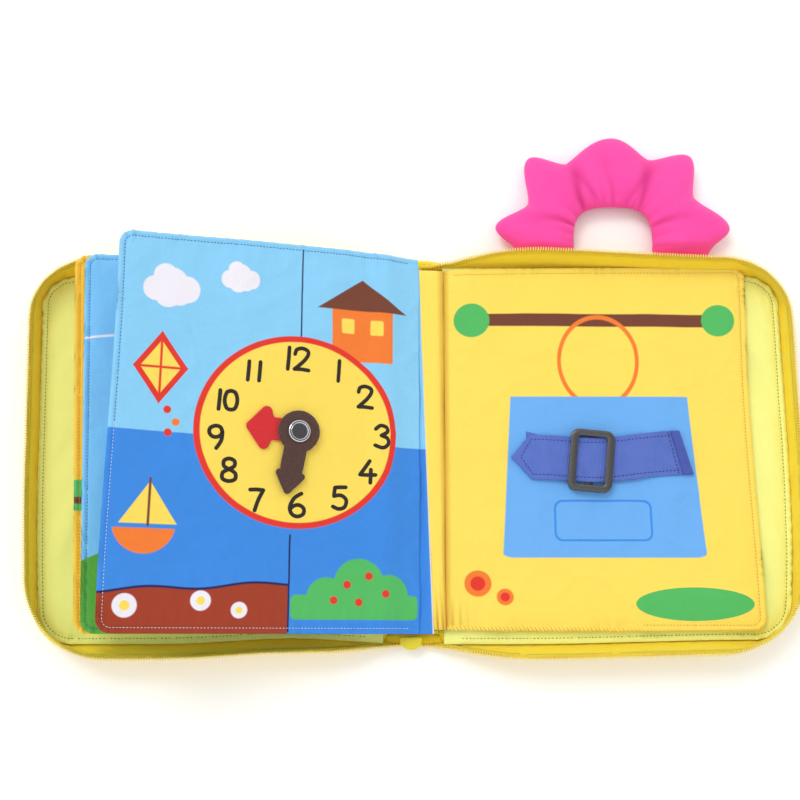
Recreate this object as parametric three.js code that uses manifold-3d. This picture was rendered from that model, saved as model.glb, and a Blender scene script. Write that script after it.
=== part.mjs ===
// Crinkle cloth book, lying open on its covers: a soft zip-up case with four cloth leaves, a toy clock,
// a belt with a buckle and a stuffed sun-ray handle. Millimetres, +Z up, +X towards the back cover, +Y
// towards the head of the book. The origin is the middle of the spine's underside.
import * as THREE from "three";
import { mergeVertices } from "three/addons/utils/BufferGeometryUtils.js";
import Module from "manifold-3d";

const wasm = await Module();
wasm.setup();

// Driving sizes of the case
const leafHeight = 224;
const leafHalf = leafHeight / 2;
const spineWidth = 48;
const spineLength = leafHeight;
const coverEnd = 227.5;
const footMargin = 5;
const headMargin = 0.5;
const coverFoot = -leafHalf - footMargin;
const coverHead = leafHalf + headMargin;
const caseCorner = 16;
const panelCorner = 25;
const clearance = 0.3;
const overrun = 2;

// How finely round forms and long edges are divided
const longEdgeSteps = 12;
const foreEdgeSteps = 6;
const caseCornerSteps = 8;
const leafCornerSteps = 4;
const curveSteps = 8;
const coilSides = 6;
const drillSides = 20;
const latheSides = 24;
const foldShare = 1 / 3;

// Layers of a cover, from the table up
const clothThick = 1.2;
const foamThick = 1.9;
const liningThick = 3.3;
const liningEdgeThick = 1.6;
const liningEdgeBand = 12;
const wallThick = 1.6;
const foamFromCrease = 2.8;
const spineFoamFromCrease = 4.9;

// Gusset wall and zip round each cover
const endFlare = 3;
const rimEnd = coverEnd + endFlare;
const footFlare = 9.5;
const headFlare = 8;
const rimFoot = coverFoot - footFlare;
const rimHead = coverHead + headFlare;
const rimFootRadius = 48;
const rimHeadRadius = 40;
const rimHeight = 24.4;
const wallLowHeight = 8;
const wallRise = 62;
const wallStart = 1.5;
const coilRadius = 1.1;
const tapeHeight = 4.4;
const tapeThick = 1;

// Leaves: two printed cloths with a crinkle film between them
const leafThick = 2.9;
const leafClothThick = 0.9;
const leafEdgeThick = 1.7;
const leafEdgeBand = 9;
const leafCorner = 8;
const filmThick = 0.4;
const filmMargin = 11;
const leafEdgeShares = [0, 0.25, 0.6];
const leafBodyShares = [0, 0.03, 0.06, 0.1, 0.14, 0.19, 0.3, 0.45, 0.6, 0.72, 0.82, 0.91];
const drillDepth = 24;

// The seam line of each leaf, how far it reaches, and how steeply it lies when the book is open
const clockSeamX = 3.5;
const clockSeamZ = 11;
const clockHemLength = 8.2;
const clockReach = 182.5;
const clockTilt = THREE.MathUtils.degToRad(20);
const clockHump = 1.8;
const clockHumpEnd = 36;
const clockCurlStart = 122;
const clockCurl = 4;
const secondSeamX = -9;
const secondSeamZ = 10;
const secondReach = 186.5;
const thirdSeamX = -13.5;
const thirdSeamZ = 7.3;
const thirdReach = 185;
const pileTilt = THREE.MathUtils.degToRad(8.5);
const leafStart = 1;
const buckleSeamX = 14;
const buckleSeamZ = 8.5;
const buckleHemLength = 5;
const buckleReach = 188.4;
const buckleLift = 1;
const buckleLiftEnd = 14;
const hemThick = 1.6;

// Binding: the sewn stack of leaf hems that stands on the spine, as steps from left to right
const bindingLeft = -16;
const bindingRight = 17.5;
const bindingInset = 2;
const thirdStepTop = 6.1;
const secondStepTop = 8.8;
const clockStepTop = 10.1;
const tuckStepTop = 9.7;
const tuckRight = 9.2;
const buckleStepTop = 7.1;
const stepPull = 2.4;
const tuckThick = 1.2;

// Clock
const rivetAlong = 75.7;
const rivetAcross = -3.5;
const shankRadius = 2;
const capRadius = 6.6;
const capThick = 1.2;
const capCrownRadius = 5.7;
const capRimHeight = 0.4;
const capCrownHeight = 0.96;
const washerRadius = 5;
const washerFootRadius = 4;
const washerThick = 1;
const feltThick = 1.5;
const minuteLength = 38.7;
const minuteHub = 12.4;
const minuteShaft = 13.6;
const minuteHead = 17.4;
const minuteHeadLength = 15;
const minuteAngle = THREE.MathUtils.degToRad(79.7);
const hourLength = 32.7;
const hourHub = 11.5;
const hourShaft = 13.6;
const hourHead = 25.5;
const hourHeadLength = 16.5;
const hourAngle = THREE.MathUtils.degToRad(-4.4);
const headCorner = 1.6;

// Belt and buckle, measured along the buckle leaf from its seam line
const beltTurn = THREE.MathUtils.degToRad(1.5);
const beltWidth = 27;
const beltThick = 1.2;
const beltTip = 45;
const beltPoint = 9.6;
const beltSewn = 154;
const beltSewnSlant = 7;
const beltRampStart = 122;
const beltRampEnd = 132;
const beltAcross = -8.2;
const beltLift = 1.9;
const stitchPatch = 6;
const underStart = 54;
const underEnd = 74;
const underRise = 2.4;
const buckleAlong = 92.5;
const buckleTurn = THREE.MathUtils.degToRad(-7);
const buckleWidth = 26.5;
const buckleLength = 37;
const buckleRail = 2.9;
const buckleSideBar = 4;
const buckleCentreBar = 4.6;
const buckleCorner = 3;
const buckleThick = 5.2;
const centreBarThick = 1.3;

// Handle: a stuffed half sun with five rays, sewn in outside the head wall of the back cover
const handleX = 125.3;
const handleFromRim = 6.8;
const handleY = rimHead + handleFromRim;
const handleZ = 8.2;
const handleInner = 24.5;
const handleSquareness = 3.2;
const handleValley = 60;
const handleTip = 75.5;
const handleFill = 7.4;
const handleSeamFromCover = 2.9;
const handleSeamY = coverHead + handleSeamFromCover;
const handleSeamZ = 3.4;
const handleSeamThick = 3;
const rayCount = 5;
const raySpread = THREE.MathUtils.degToRad(40.6);
const raySharpness = 1.7;
const handleSteps = 60;
const sectionSteps = 6;
const legShares = [0, 0.4, 0.75];

// Spine ends, zip chain, slider and pull
const endHalfWidth = 15;
const endReach = 5;
const endThick = 3;
const chainX = -1.5;
const chainWidth = 8;
const chainThick = 1.2;
const chainReach = 9.5;
const sliderLength = 5;
const sliderStart = 1.6;
const sliderWall = 1.1;
const sliderRoof = 1.3;
const pullWidth = 13.2;
const pullReach = 7.6;
const pullThick = 1.7;

const spineHalf = spineWidth / 2;
const liningBase = clothThick + foamThick + clearance * 2;

// Colours and finishes
const clothOf = (color) => new THREE.MeshStandardMaterial({ color, roughness: 0.9, metalness: 0 });
const colours = {
  case: clothOf(0xfad42d),
  lime: clothOf(0xf7fa96),
  foam: clothOf(0xf4f4f0),
  page: clothOf(0xffe164),
  sky: clothOf(0x8cd2fa),
  paleSky: clothOf(0x7dc8fa),
  orange: clothOf(0xffc83c),
  pink: clothOf(0xfa50aa),
  brown: clothOf(0x4b2d28),
  red: clothOf(0xe11923),
  belt: clothOf(0x5a73cd),
  film: new THREE.MeshStandardMaterial({ color: 0xe8eef2, roughness: 0.25, metalness: 0 }),
  buckle: new THREE.MeshStandardMaterial({ color: 0x46464b, roughness: 0.3, metalness: 0 }),
  chrome: new THREE.MeshStandardMaterial({ color: 0xd8d8dc, roughness: 0.12, metalness: 1 }),
  zip: new THREE.MeshStandardMaterial({ color: 0xf2cc2a, roughness: 0.5, metalness: 0 }),
};

const book = new THREE.Group();

// Adds one piece to its group as a named mesh.
function addPiece(group, name, geometry, material) {
  const mesh = new THREE.Mesh(geometry, material);
  mesh.name = name;
  group.add(mesh);
  return mesh;
}

// A closed skin through rings of points, with a fan over each end. Its faces are turned to point outwards.
function loft(rings) {
  const count = rings[0].length;
  const positions = rings.flat().flatMap((point) => [point.x, point.y, point.z]);
  const index = [];
  for (let ring = 0; ring < rings.length - 1; ring += 1) {
    for (let side = 0; side < count; side += 1) {
      const next = (side + 1) % count;
      const a = ring * count + side;
      const b = ring * count + next;
      index.push(a, b, a + count, b, b + count, a + count);
    }
  }
  const last = (rings.length - 1) * count;
  for (let side = 1; side < count - 1; side += 1) {
    index.push(0, side + 1, side);
    index.push(last, last + side, last + side + 1);
  }
  if (signedVolume(positions, index) < 0) {
    for (let i = 0; i < index.length; i += 3) {
      [index[i + 1], index[i + 2]] = [index[i + 2], index[i + 1]];
    }
  }
  const geometry = new THREE.BufferGeometry();
  geometry.setAttribute("position", new THREE.Float32BufferAttribute(positions, 3));
  geometry.setIndex(index);
  return geometry;
}

// Six times the volume inside a closed skin, negative where its faces point inwards.
function signedVolume(positions, index) {
  const corner = (i) => new THREE.Vector3().fromArray(positions, index[i] * 3);
  let sum = 0;
  for (let i = 0; i < index.length; i += 3) {
    sum += corner(i).dot(corner(i + 1).cross(corner(i + 2)));
  }
  return sum;
}

// A profile in X and Z, drawn out along Y from one end of the book to the other.
function drawAlongY(profile, from, to) {
  const shape = new THREE.Shape(profile.map(([x, z]) => new THREE.Vector2(x, z)));
  const geometry = new THREE.ExtrudeGeometry(shape, { depth: to - from, bevelEnabled: false });
  return geometry.rotateX(Math.PI / 2).translate(0, to, 0);
}

// A flat outline with a thickness, its underside at the given height.
function plate(shape, thickness, bottom) {
  const options = { depth: thickness, bevelEnabled: false, curveSegments: curveSteps };
  return new THREE.ExtrudeGeometry(shape, options).translate(0, 0, bottom);
}

// A geometry as a manifold-3d solid, and back.
function solidOf(geometry) {
  const bare = geometry.clone().deleteAttribute("normal").deleteAttribute("uv");
  const merged = mergeVertices(bare);
  return new wasm.Manifold(
    new wasm.Mesh({
      numProp: 3,
      vertProperties: merged.attributes.position.array,
      triVerts: new Uint32Array(merged.index.array),
    }),
  );
}

function geometryOf(solid) {
  const mesh = solid.getMesh();
  const geometry = new THREE.BufferGeometry();
  geometry.setAttribute("position", new THREE.Float32BufferAttribute(mesh.vertProperties, 3));
  geometry.setIndex(new THREE.BufferAttribute(mesh.triVerts, 1));
  return geometry;
}

// A round hole cut down through a piece at one place of a leaf.
function drilled(geometry, x, y, radius) {
  const drill = new THREE.CylinderGeometry(radius, radius, drillDepth, drillSides);
  drill.rotateX(Math.PI / 2).translate(x, y, 0);
  return geometryOf(solidOf(geometry).subtract(solidOf(drill)));
}

// The outline of a cover from the crease at the foot, round the fore edge, to the crease at the head. It
// gives the same number of points for every size, so that outlines can be joined by rings.
function caseOutline(start, end, foot, head, footRadius, headRadius) {
  const points = [];
  const straight = (x0, y0, x1, y1, steps) => {
    for (let i = 0; i < steps; i += 1) {
      const share = i / steps;
      points.push(new THREE.Vector2(x0 + (x1 - x0) * share, y0 + (y1 - y0) * share));
    }
  };
  const corner = (x, y, radius, from, steps) => {
    for (let i = 0; i < steps; i += 1) {
      const angle = from + ((Math.PI / 2) * i) / steps;
      points.push(new THREE.Vector2(x + radius * Math.cos(angle), y + radius * Math.sin(angle)));
    }
  };
  straight(start, foot, end - footRadius, foot, longEdgeSteps);
  corner(end - footRadius, foot + footRadius, footRadius, -Math.PI / 2, caseCornerSteps);
  straight(end, foot + footRadius, end, head - headRadius, foreEdgeSteps);
  corner(end - headRadius, head - headRadius, headRadius, 0, caseCornerSteps);
  straight(end - headRadius, head, start, head, longEdgeSteps);
  points.push(new THREE.Vector2(start, head));
  return points;
}

// The straight-sided outline of a cover as a shape, drawn in from the wall by a gap.
function panelShape(side, gap, fromCrease) {
  const outline = caseOutline(
    spineHalf + fromCrease,
    coverEnd - gap,
    coverFoot + gap,
    coverHead - gap,
    panelCorner,
    panelCorner,
  );
  return new THREE.Shape(outline.map((point) => new THREE.Vector2(point.x * side, point.y)));
}

// How high the rim stands at a distance from the crease: low at the spine, full along the cover.
function rimHeightAt(distance) {
  const share = Math.min(distance / wallRise, 1);
  return wallLowHeight + (rimHeight - wallLowHeight) * (1 - (1 - share) ** 2);
}

// Rings along a cover's wall between two heights below the rim, for a strip of the given thickness.
function wallStrip(side, below, above, thickness, fromTable) {
  const start = spineHalf + wallStart;
  const base = caseOutline(start, coverEnd, coverFoot, coverHead, caseCorner, caseCorner);
  const rim = caseOutline(start, rimEnd, rimFoot, rimHead, rimFootRadius, rimHeadRadius);
  return base.map((foot, i) => {
    const before = base[Math.max(i - 1, 0)];
    const after = base[Math.min(i + 1, base.length - 1)];
    const along = after.clone().sub(before).normalize();
    const out = new THREE.Vector2(along.y, -along.x);
    const top = rimHeightAt(foot.x - start);
    const lean = (height) => foot.clone().lerp(rim[i], height / rimHeight);
    const low = fromTable ? 0 : top - below;
    const high = top - above;
    const corners = [
      [low, -thickness / 2],
      [low, thickness / 2],
      [high, thickness / 2],
      [high, -thickness / 2],
    ];
    return corners.map(([height, shift]) => {
      const place = lean(height).addScaledVector(out, shift);
      return new THREE.Vector3(place.x * side, place.y, height);
    });
  });
}

// The zip's coil along the rim of a cover, as a thin bead.
function coilRings(side) {
  const middle = wallStrip(side, coilRadius, coilRadius, tapeThick, false);
  return middle.map((ring) => {
    const centre = ring[0].clone().lerp(ring[1], 1 / 2);
    const out = ring[1].clone().sub(ring[0]).normalize();
    const points = [];
    for (let k = 0; k < coilSides; k += 1) {
      const angle = (k * Math.PI * 2) / coilSides;
      const point = centre.clone().addScaledVector(out, coilRadius * Math.cos(angle));
      point.z += coilRadius * Math.sin(angle);
      points.push(point);
    }
    return points;
  });
}

// One cover: outer cloth, foam board, padded lining, gusset wall, zip tape and coil.
function addCover(name, side) {
  const cover = new THREE.Group();
  const gap = wallThick / 2 + clearance;
  const cloth = plate(panelShape(side, gap, clearance), clothThick, 0);
  addPiece(cover, `${name}_cover_cloth`, cloth, colours.case);
  const foam = plate(panelShape(side, gap, foamFromCrease), foamThick, clothThick + clearance);
  addPiece(cover, `${name}_cover_foam`, foam, colours.foam);
  addPiece(cover, `${name}_lining`, liningGeometry(side, gap), colours.lime);
  const tapeTop = coilRadius * 2 + clearance;
  const wallTop = tapeTop + tapeHeight + clearance;
  const wall = loft(wallStrip(side, 0, wallTop, wallThick, true));
  addPiece(cover, `${name}_gusset`, wall, colours.case);
  const tape = loft(wallStrip(side, tapeTop + tapeHeight, tapeTop, tapeThick, false));
  addPiece(cover, `${name}_zip_tape`, tape, colours.zip);
  addPiece(cover, `${name}_zip_coil`, loft(coilRings(side)), colours.zip);
  book.add(cover);
}

// The lining is padded: rings of the cover's outline step in and up to a gentle crown.
function liningGeometry(side, gap) {
  const ringAt = (inset, height) =>
    caseOutline(
      spineHalf + wallStart + inset,
      coverEnd - gap - inset,
      coverFoot + gap + inset,
      coverHead - gap - inset,
      panelCorner,
      panelCorner,
    ).map((point) => new THREE.Vector3(point.x * side, point.y, height));
  return loft([
    ringAt(liningEdgeBand, liningBase),
    ringAt(0, liningBase),
    ringAt(0, liningBase + liningEdgeThick),
    ringAt(liningEdgeBand / 2, liningBase + (liningThick + liningEdgeThick) / 2),
    ringAt(liningEdgeBand, liningBase + liningThick),
  ]);
}

// The spine: outer cloth, foam board, the stepped binding of leaf hems, and the two end gussets.
function addSpine() {
  const spine = new THREE.Group();
  const half = spineHalf - clearance;
  const strip = (bottom, thickness, reach) => {
    const geometry = new THREE.BoxGeometry(reach * 2, spineLength, thickness);
    return geometry.translate(0, 0, bottom + thickness / 2);
  };
  addPiece(spine, "spine_cloth", strip(0, clothThick, half), colours.case);
  const foamHalf = spineHalf - spineFoamFromCrease;
  addPiece(spine, "spine_foam", strip(clothThick + clearance, foamThick, foamHalf), colours.foam);
  const floor = liningBase;
  const steps = [
    [bindingLeft, floor],
    [bindingRight, floor],
    [bindingRight, buckleStepTop],
    [tuckRight + clearance, buckleStepTop],
    [tuckRight + clearance, tuckStepTop],
    [clockSeamX, tuckStepTop],
    [clockSeamX, clockStepTop],
    [secondSeamX + stepPull, clockStepTop],
    [secondSeamX + stepPull, secondStepTop],
    [thirdSeamX + stepPull, secondStepTop],
    [thirdSeamX + stepPull, thirdStepTop],
    [bindingLeft, thirdStepTop],
  ];
  const bindingHalf = leafHalf - bindingInset;
  const binding = drawAlongY(steps, -bindingHalf, bindingHalf);
  addPiece(spine, "leaf_binding", binding, colours.page);
  const tuckBottom = tuckStepTop + clearance;
  const tuck = [
    [clockSeamX + leafStart + clearance, tuckBottom],
    [tuckRight, tuckBottom],
    [tuckRight, tuckBottom + tuckThick / 2],
    [tuckRight - tuckThick, tuckBottom + tuckThick],
    [clockSeamX + leafStart + clearance, tuckBottom + tuckThick],
  ];
  addPiece(spine, "clock_leaf_tuck", drawAlongY(tuck, -leafHalf, leafHalf), colours.sky);
  for (const [name, end] of [
    ["head", 1],
    ["foot", -1],
  ]) {
    const from = end * (spineLength / 2 + clearance);
    const block = new THREE.BoxGeometry(endHalfWidth * 2, endReach, endThick);
    block.translate(0, from + (end * endReach) / 2, endThick / 2);
    addPiece(spine, `spine_end_${name}`, block, colours.case);
  }
  const chainStart = -spineLength / 2 - clearance;
  const chain = new THREE.BoxGeometry(chainWidth, chainReach, chainThick);
  chain.translate(chainX, chainStart - chainReach / 2, endThick + clearance + chainThick / 2);
  addPiece(spine, "zip_chain_start", chain, colours.zip);
  book.add(spine);
}

// The slider is a channel over the chain, and the pull hangs on its roof.
function addSlider() {
  const slider = new THREE.Group();
  const inner = chainWidth / 2 + clearance;
  const outer = inner + sliderWall;
  const bottom = endThick + clearance;
  const roof = bottom + chainThick + clearance;
  const profile = [
    [-outer, bottom],
    [-inner, bottom],
    [-inner, roof],
    [inner, roof],
    [inner, bottom],
    [outer, bottom],
    [outer, roof + sliderRoof],
    [-outer, roof + sliderRoof],
  ];
  const head = -spineLength / 2 - sliderStart;
  const body = drawAlongY(profile, head - sliderLength, head).translate(chainX, 0, 0);
  addPiece(slider, "zip_slider", body, colours.zip);
  const half = pullWidth / 2;
  const shape = new THREE.Shape();
  shape.moveTo(half, 0);
  shape.lineTo(-half, 0);
  shape.lineTo(-half, -(pullReach - half));
  shape.absarc(0, -(pullReach - half), half, Math.PI, Math.PI * 2, false);
  shape.lineTo(half, 0);
  const pull = plate(shape, pullThick, roof + sliderRoof + clearance);
  pull.translate(chainX, head, 0);
  addPiece(slider, "zip_pull", pull, colours.zip);
  book.add(slider);
}

// A leaf's group: local X runs from the seam to the fore edge, local Z is the leaf's upper side.
function leafGroup(side, seamX, seamZ, tilt) {
  const group = new THREE.Group();
  group.position.set(seamX, 0, seamZ);
  group.rotation.set(0, -tilt, side < 0 ? Math.PI : 0, "ZYX");
  book.add(group);
  return group;
}

// Places along a leaf where its section is drawn: close together in its thin edges and over its hump.
function leafStations(start, reach) {
  const stations = leafEdgeShares.map((share) => start + leafEdgeBand * share);
  const from = start + leafEdgeBand;
  const to = reach - leafCorner;
  stations.push(...leafBodyShares.map((share) => from + (to - from) * share));
  for (let i = 0; i <= leafCornerSteps; i += 1) {
    stations.push(to + leafCorner * Math.sin((i * Math.PI) / 2 / leafCornerSteps));
  }
  return stations;
}

// The rise of a leaf along its length, as straight runs between its stations, so that its layers nest.
function riseBetween(stations, rise) {
  return (x) => {
    const after = Math.max(stations.findIndex((station) => station >= x), 1);
    const [a, b] = [stations[after - 1], stations[after]];
    return rise(a) + ((rise(b) - rise(a)) * (x - a)) / (b - a);
  };
}

// One layer of a leaf between two heights, with thin edges, round fore corners and a rise along its length.
function leafLayer(start, reach, margin, heights, rise) {
  const from = start + margin;
  const to = reach - margin;
  const half = leafHalf - margin;
  const corner = Math.max(leafCorner - margin, leafCorner * foldShare);
  const stations = leafStations(start, reach);
  const riseAt = riseBetween(stations, rise);
  const inside = stations.filter((x) => x >= from && x <= to);
  const own = margin ? [from, to - corner, to - corner * foldShare, to] : [];
  const rings = [];
  for (const x of [...inside, ...own].sort((a, b) => a - b)) {
    const inCorner = Math.max(x - (to - corner), 0);
    const width = half - corner + Math.sqrt(Math.max(corner ** 2 - inCorner ** 2, 0));
    const band = leafEdgeBand / half;
    const fold = band * foldShare;
    const acrossShares = [-1, -1 + fold, -1 + band, 0, 1 - band, 1 - fold, 1];
    const ring = [];
    const point = (across, top) => {
      const inward = Math.min((1 - Math.abs(across)) * half, x - start, reach - x);
      const crown = Math.sin((Math.min(Math.max(inward, 0) / leafEdgeBand, 1) * Math.PI) / 2);
      const [edge, middle] = heights[top];
      ring.push(new THREE.Vector3(x, across * width, riseAt(x) + edge + (middle - edge) * crown));
    };
    acrossShares.forEach((share) => point(share, 1));
    acrossShares.toReversed().forEach((share) => point(share, 0));
    rings.push(ring);
  }
  return loft(rings);
}

// The front cloth, crinkle film and back cloth of one leaf, with an optional hole for a rivet.
function addLeaf(group, name, start, reach, material, rise, hole) {
  const outer = leafThick / 2;
  const inner = outer - leafClothThick;
  const edge = leafEdgeThick / 2;
  const seam = clearance / 2;
  const film = filmThick / 2;
  const layers = [
    ["front_cloth", 0, [[seam, inner], [edge, outer]], material],
    ["crinkle_film", filmMargin, [[-film, -film], [film, film]], colours.film],
    ["back_cloth", 0, [[-edge, -outer], [-seam, -inner]], material],
  ];
  for (const [layer, margin, heights, finish] of layers) {
    let geometry = leafLayer(start, reach, margin, heights, rise);
    if (hole) {
      geometry = drilled(geometry, hole.x, hole.y, hole.radius);
    }
    addPiece(group, `${name}_${layer}`, geometry, finish);
  }
}

// The hem by which a leaf is sewn into the binding, a flat strip beside its seam line.
function addHem(group, name, length, material) {
  const profile = [
    [leafStart, -hemThick / 2],
    [length, -hemThick / 2],
    [length, hemThick / 2],
    [leafStart, hemThick / 2],
  ];
  addPiece(group, name, drawAlongY(profile, -leafHalf, leafHalf), material);
}

// The clock leaf swells near its seam, is flat under the clock and curls up at its fore edge.
function clockRise(x) {
  if (x < clockHumpEnd) {
    const share = Math.max(x - clockHemLength, 0) / (clockHumpEnd - clockHemLength);
    return clockHump * Math.sin(Math.PI * share) ** 2;
  }
  const past = Math.max(x - clockCurlStart, 0) / (clockReach - clockCurlStart);
  return clockCurl * past ** 2;
}

// The clock leaf with its hem, and the clock: two felt hands on a rivet with a domed cap and a washer.
function addClockLeaf() {
  const group = leafGroup(-1, clockSeamX, clockSeamZ, clockTilt);
  addHem(group, "clock_leaf_hem", clockHemLength, colours.sky);
  const hole = { x: rivetAlong, y: rivetAcross, radius: shankRadius + clearance };
  const start = clockHemLength + clearance;
  addLeaf(group, "clock_leaf", start, clockReach, colours.sky, clockRise, hole);

  const clock = new THREE.Group();
  clock.position.set(rivetAlong, rivetAcross, leafThick / 2);
  group.add(clock);
  const hourBottom = clearance;
  const minuteBottom = hourBottom + feltThick + clearance;
  const capBottom = minuteBottom + feltThick + clearance;
  const hourShape = handShape(hourHub, hourShaft, hourHead, hourHeadLength, hourLength, hourAngle);
  addPiece(clock, "hour_hand", plate(hourShape, feltThick, hourBottom), colours.red);
  const minuteShape = handShape(
    minuteHub,
    minuteShaft,
    minuteHead,
    minuteHeadLength,
    minuteLength,
    minuteAngle,
  );
  addPiece(clock, "minute_hand", plate(minuteShape, feltThick, minuteBottom), colours.brown);
  const below = -leafThick - clearance;
  const turned = (outline) => {
    const points = outline.map(([radius, height]) => new THREE.Vector2(radius, height));
    return new THREE.LatheGeometry(points, latheSides).rotateX(Math.PI / 2);
  };
  const capOutline = [
    [0, capBottom - clearance],
    [shankRadius, capBottom - clearance],
    [shankRadius, capBottom],
    [capRadius, capBottom],
    [capRadius, capBottom + capRimHeight],
    [capCrownRadius, capBottom + capCrownHeight],
    [0, capBottom + capThick],
  ];
  addPiece(clock, "rivet_cap", turned(capOutline), colours.chrome);
  const shankOutline = [
    [0, below],
    [shankRadius, below],
    [shankRadius, capBottom - clearance * 2],
    [0, capBottom - clearance * 2],
  ];
  addPiece(clock, "rivet_shank", turned(shankOutline), colours.chrome);
  const washerOutline = [
    [0, below - clearance - washerThick],
    [washerFootRadius, below - clearance - washerThick],
    [washerRadius, below - clearance - washerThick / 2],
    [washerRadius, below - clearance],
    [0, below - clearance],
  ];
  addPiece(clock, "rivet_washer", turned(washerOutline), colours.chrome);
}

// A felt hand: a round hub, a straight shaft and an arrow head with rounded corners, with a rivet hole.
function handShape(hub, shaft, head, headLength, length, angle) {
  const neck = length - headLength;
  const half = shaft / 2;
  const leave = Math.asin(half / hub);
  const slope = Math.atan2(head / 2, headLength);
  const outline = new THREE.Path();
  outline.absarc(0, 0, hub, leave, -leave, false);
  outline.lineTo(neck, -half);
  outline.lineTo(neck, -head / 2 + headCorner);
  outline.quadraticCurveTo(
    neck,
    -head / 2,
    neck + headCorner * Math.cos(slope),
    -head / 2 + headCorner * Math.sin(slope),
  );
  outline.lineTo(length - headCorner * Math.cos(slope), -headCorner * Math.sin(slope));
  outline.quadraticCurveTo(
    length,
    0,
    length - headCorner * Math.cos(slope),
    headCorner * Math.sin(slope),
  );
  outline.lineTo(neck + headCorner * Math.cos(slope), head / 2 - headCorner * Math.sin(slope));
  outline.quadraticCurveTo(neck, head / 2, neck, head / 2 - headCorner);
  outline.lineTo(neck, half);
  const middle = new THREE.Vector2();
  const points = outline.getPoints(curveSteps).map((point) => point.rotateAround(middle, angle));
  const shape = new THREE.Shape(points.slice(0, -1));
  const hole = new THREE.Path();
  hole.absarc(0, 0, shankRadius + clearance, 0, Math.PI * 2, true);
  shape.holes.push(hole);
  return shape;
}

// Second and third leaf lie in a pile under the clock leaf.
function addPile() {
  const flat = () => 0;
  const second = leafGroup(-1, secondSeamX, secondSeamZ, pileTilt);
  addLeaf(second, "second_leaf", leafStart, secondReach, colours.paleSky, flat);
  const third = leafGroup(-1, thirdSeamX, thirdSeamZ, pileTilt);
  addLeaf(third, "third_leaf", leafStart, thirdReach, colours.orange, flat);
}

// The buckle leaf with its hem, and the belt with its buckle.
function addBuckleLeaf() {
  const group = leafGroup(1, buckleSeamX, buckleSeamZ, 0);
  addHem(group, "buckle_leaf_hem", buckleHemLength, colours.page);
  const start = buckleHemLength + clearance;
  const lift = (x) => buckleLift * THREE.MathUtils.smoothstep(x, start, buckleLiftEnd);
  addLeaf(group, "buckle_leaf", start, buckleReach, colours.page, lift);

  const belt = new THREE.Group();
  belt.position.set(0, beltAcross, buckleLift + leafThick / 2);
  belt.rotation.z = beltTurn;
  group.add(belt);
  addBelt(belt);
}

// The strap lies flat over the buckle's centre bar and comes down to the leaf where it is sewn.
function addBelt(belt) {
  const half = beltWidth / 2;
  const strapAt = (x, width) => {
    const share = Math.min(Math.max((x - beltRampStart) / (beltRampEnd - beltRampStart), 0), 1);
    const bottom = beltLift + (clearance - beltLift) * share;
    const slant = x >= beltSewn ? beltSewnSlant : 0;
    return [
      new THREE.Vector3(x - slant, width, bottom),
      new THREE.Vector3(x, -width, bottom),
      new THREE.Vector3(x, -width, bottom + beltThick),
      new THREE.Vector3(x - slant, width, bottom + beltThick),
    ];
  };
  const strap = [
    [beltTip, headCorner],
    [beltTip + beltPoint, half],
    [beltRampStart, half],
    [beltRampEnd, half],
    [beltSewn, half],
  ];
  addPiece(belt, "belt_strap", loft(strap.map(([x, width]) => strapAt(x, width))), colours.belt);

  const patchRise = beltThick + clearance * 2;
  const patch = [beltSewn - stitchPatch, beltSewn - clearance].map((x) => {
    const at = (y, z) => new THREE.Vector3(x - (beltSewnSlant * (y + half)) / beltWidth, y, z);
    return [
      at(half - clearance, patchRise),
      at(-half + clearance, patchRise),
      at(-half + clearance, patchRise + beltThick),
      at(half - clearance, patchRise + beltThick),
    ];
  });
  addPiece(belt, "belt_seam_strip", loft(patch), colours.belt);

  const under = [underStart, underEnd].map((x) => [
    new THREE.Vector3(x, half + underRise, clearance),
    new THREE.Vector3(x, -half + underRise, clearance),
    new THREE.Vector3(x, -half + underRise, clearance + beltThick),
    new THREE.Vector3(x, half + underRise, clearance + beltThick),
  ]);
  addPiece(belt, "belt_under_strap", loft(under), colours.belt);

  const frame = new THREE.Group();
  frame.position.set(buckleAlong, 0, clearance);
  frame.rotation.z = buckleTurn;
  belt.add(frame);
  addPiece(frame, "belt_buckle", buckleGeometry(), colours.buckle);
}

// The buckle is a three-bar slide: two rails, two high side bars over the strap and a low centre bar.
function buckleGeometry() {
  const halfWidth = buckleWidth / 2;
  const halfLength = buckleLength / 2;
  const outline = new THREE.Shape();
  roundedRectangle(outline, halfWidth, halfLength, buckleCorner);
  const window = new THREE.Path();
  const windowCorner = buckleCorner * foldShare;
  roundedRectangle(window, halfWidth - buckleSideBar, halfLength - buckleRail, windowCorner);
  outline.holes.push(window);
  const tunnelTop = beltLift + beltThick;
  const tunnel = new THREE.BoxGeometry(
    buckleWidth + overrun,
    buckleLength - buckleRail * 2,
    tunnelTop + overrun,
  ).translate(0, 0, (tunnelTop - overrun) / 2);
  const frame = solidOf(plate(outline, buckleThick, 0)).subtract(solidOf(tunnel));
  const bar = new THREE.BoxGeometry(
    buckleCentreBar,
    buckleLength - buckleRail,
    centreBarThick,
  ).translate(0, 0, centreBarThick / 2);
  return geometryOf(frame.add(solidOf(bar)));
}

// A closed rectangle with round corners, drawn about the middle of a path.
function roundedRectangle(path, halfWidth, halfLength, radius) {
  path.moveTo(halfWidth, -halfLength + radius);
  path.absarc(halfWidth - radius, halfLength - radius, radius, 0, Math.PI / 2, false);
  path.absarc(-halfWidth + radius, halfLength - radius, radius, Math.PI / 2, Math.PI, false);
  path.absarc(-halfWidth + radius, -halfLength + radius, radius, Math.PI, Math.PI * 1.5, false);
  path.absarc(halfWidth - radius, -halfLength + radius, radius, Math.PI * 1.5, Math.PI * 2, false);
}

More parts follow.
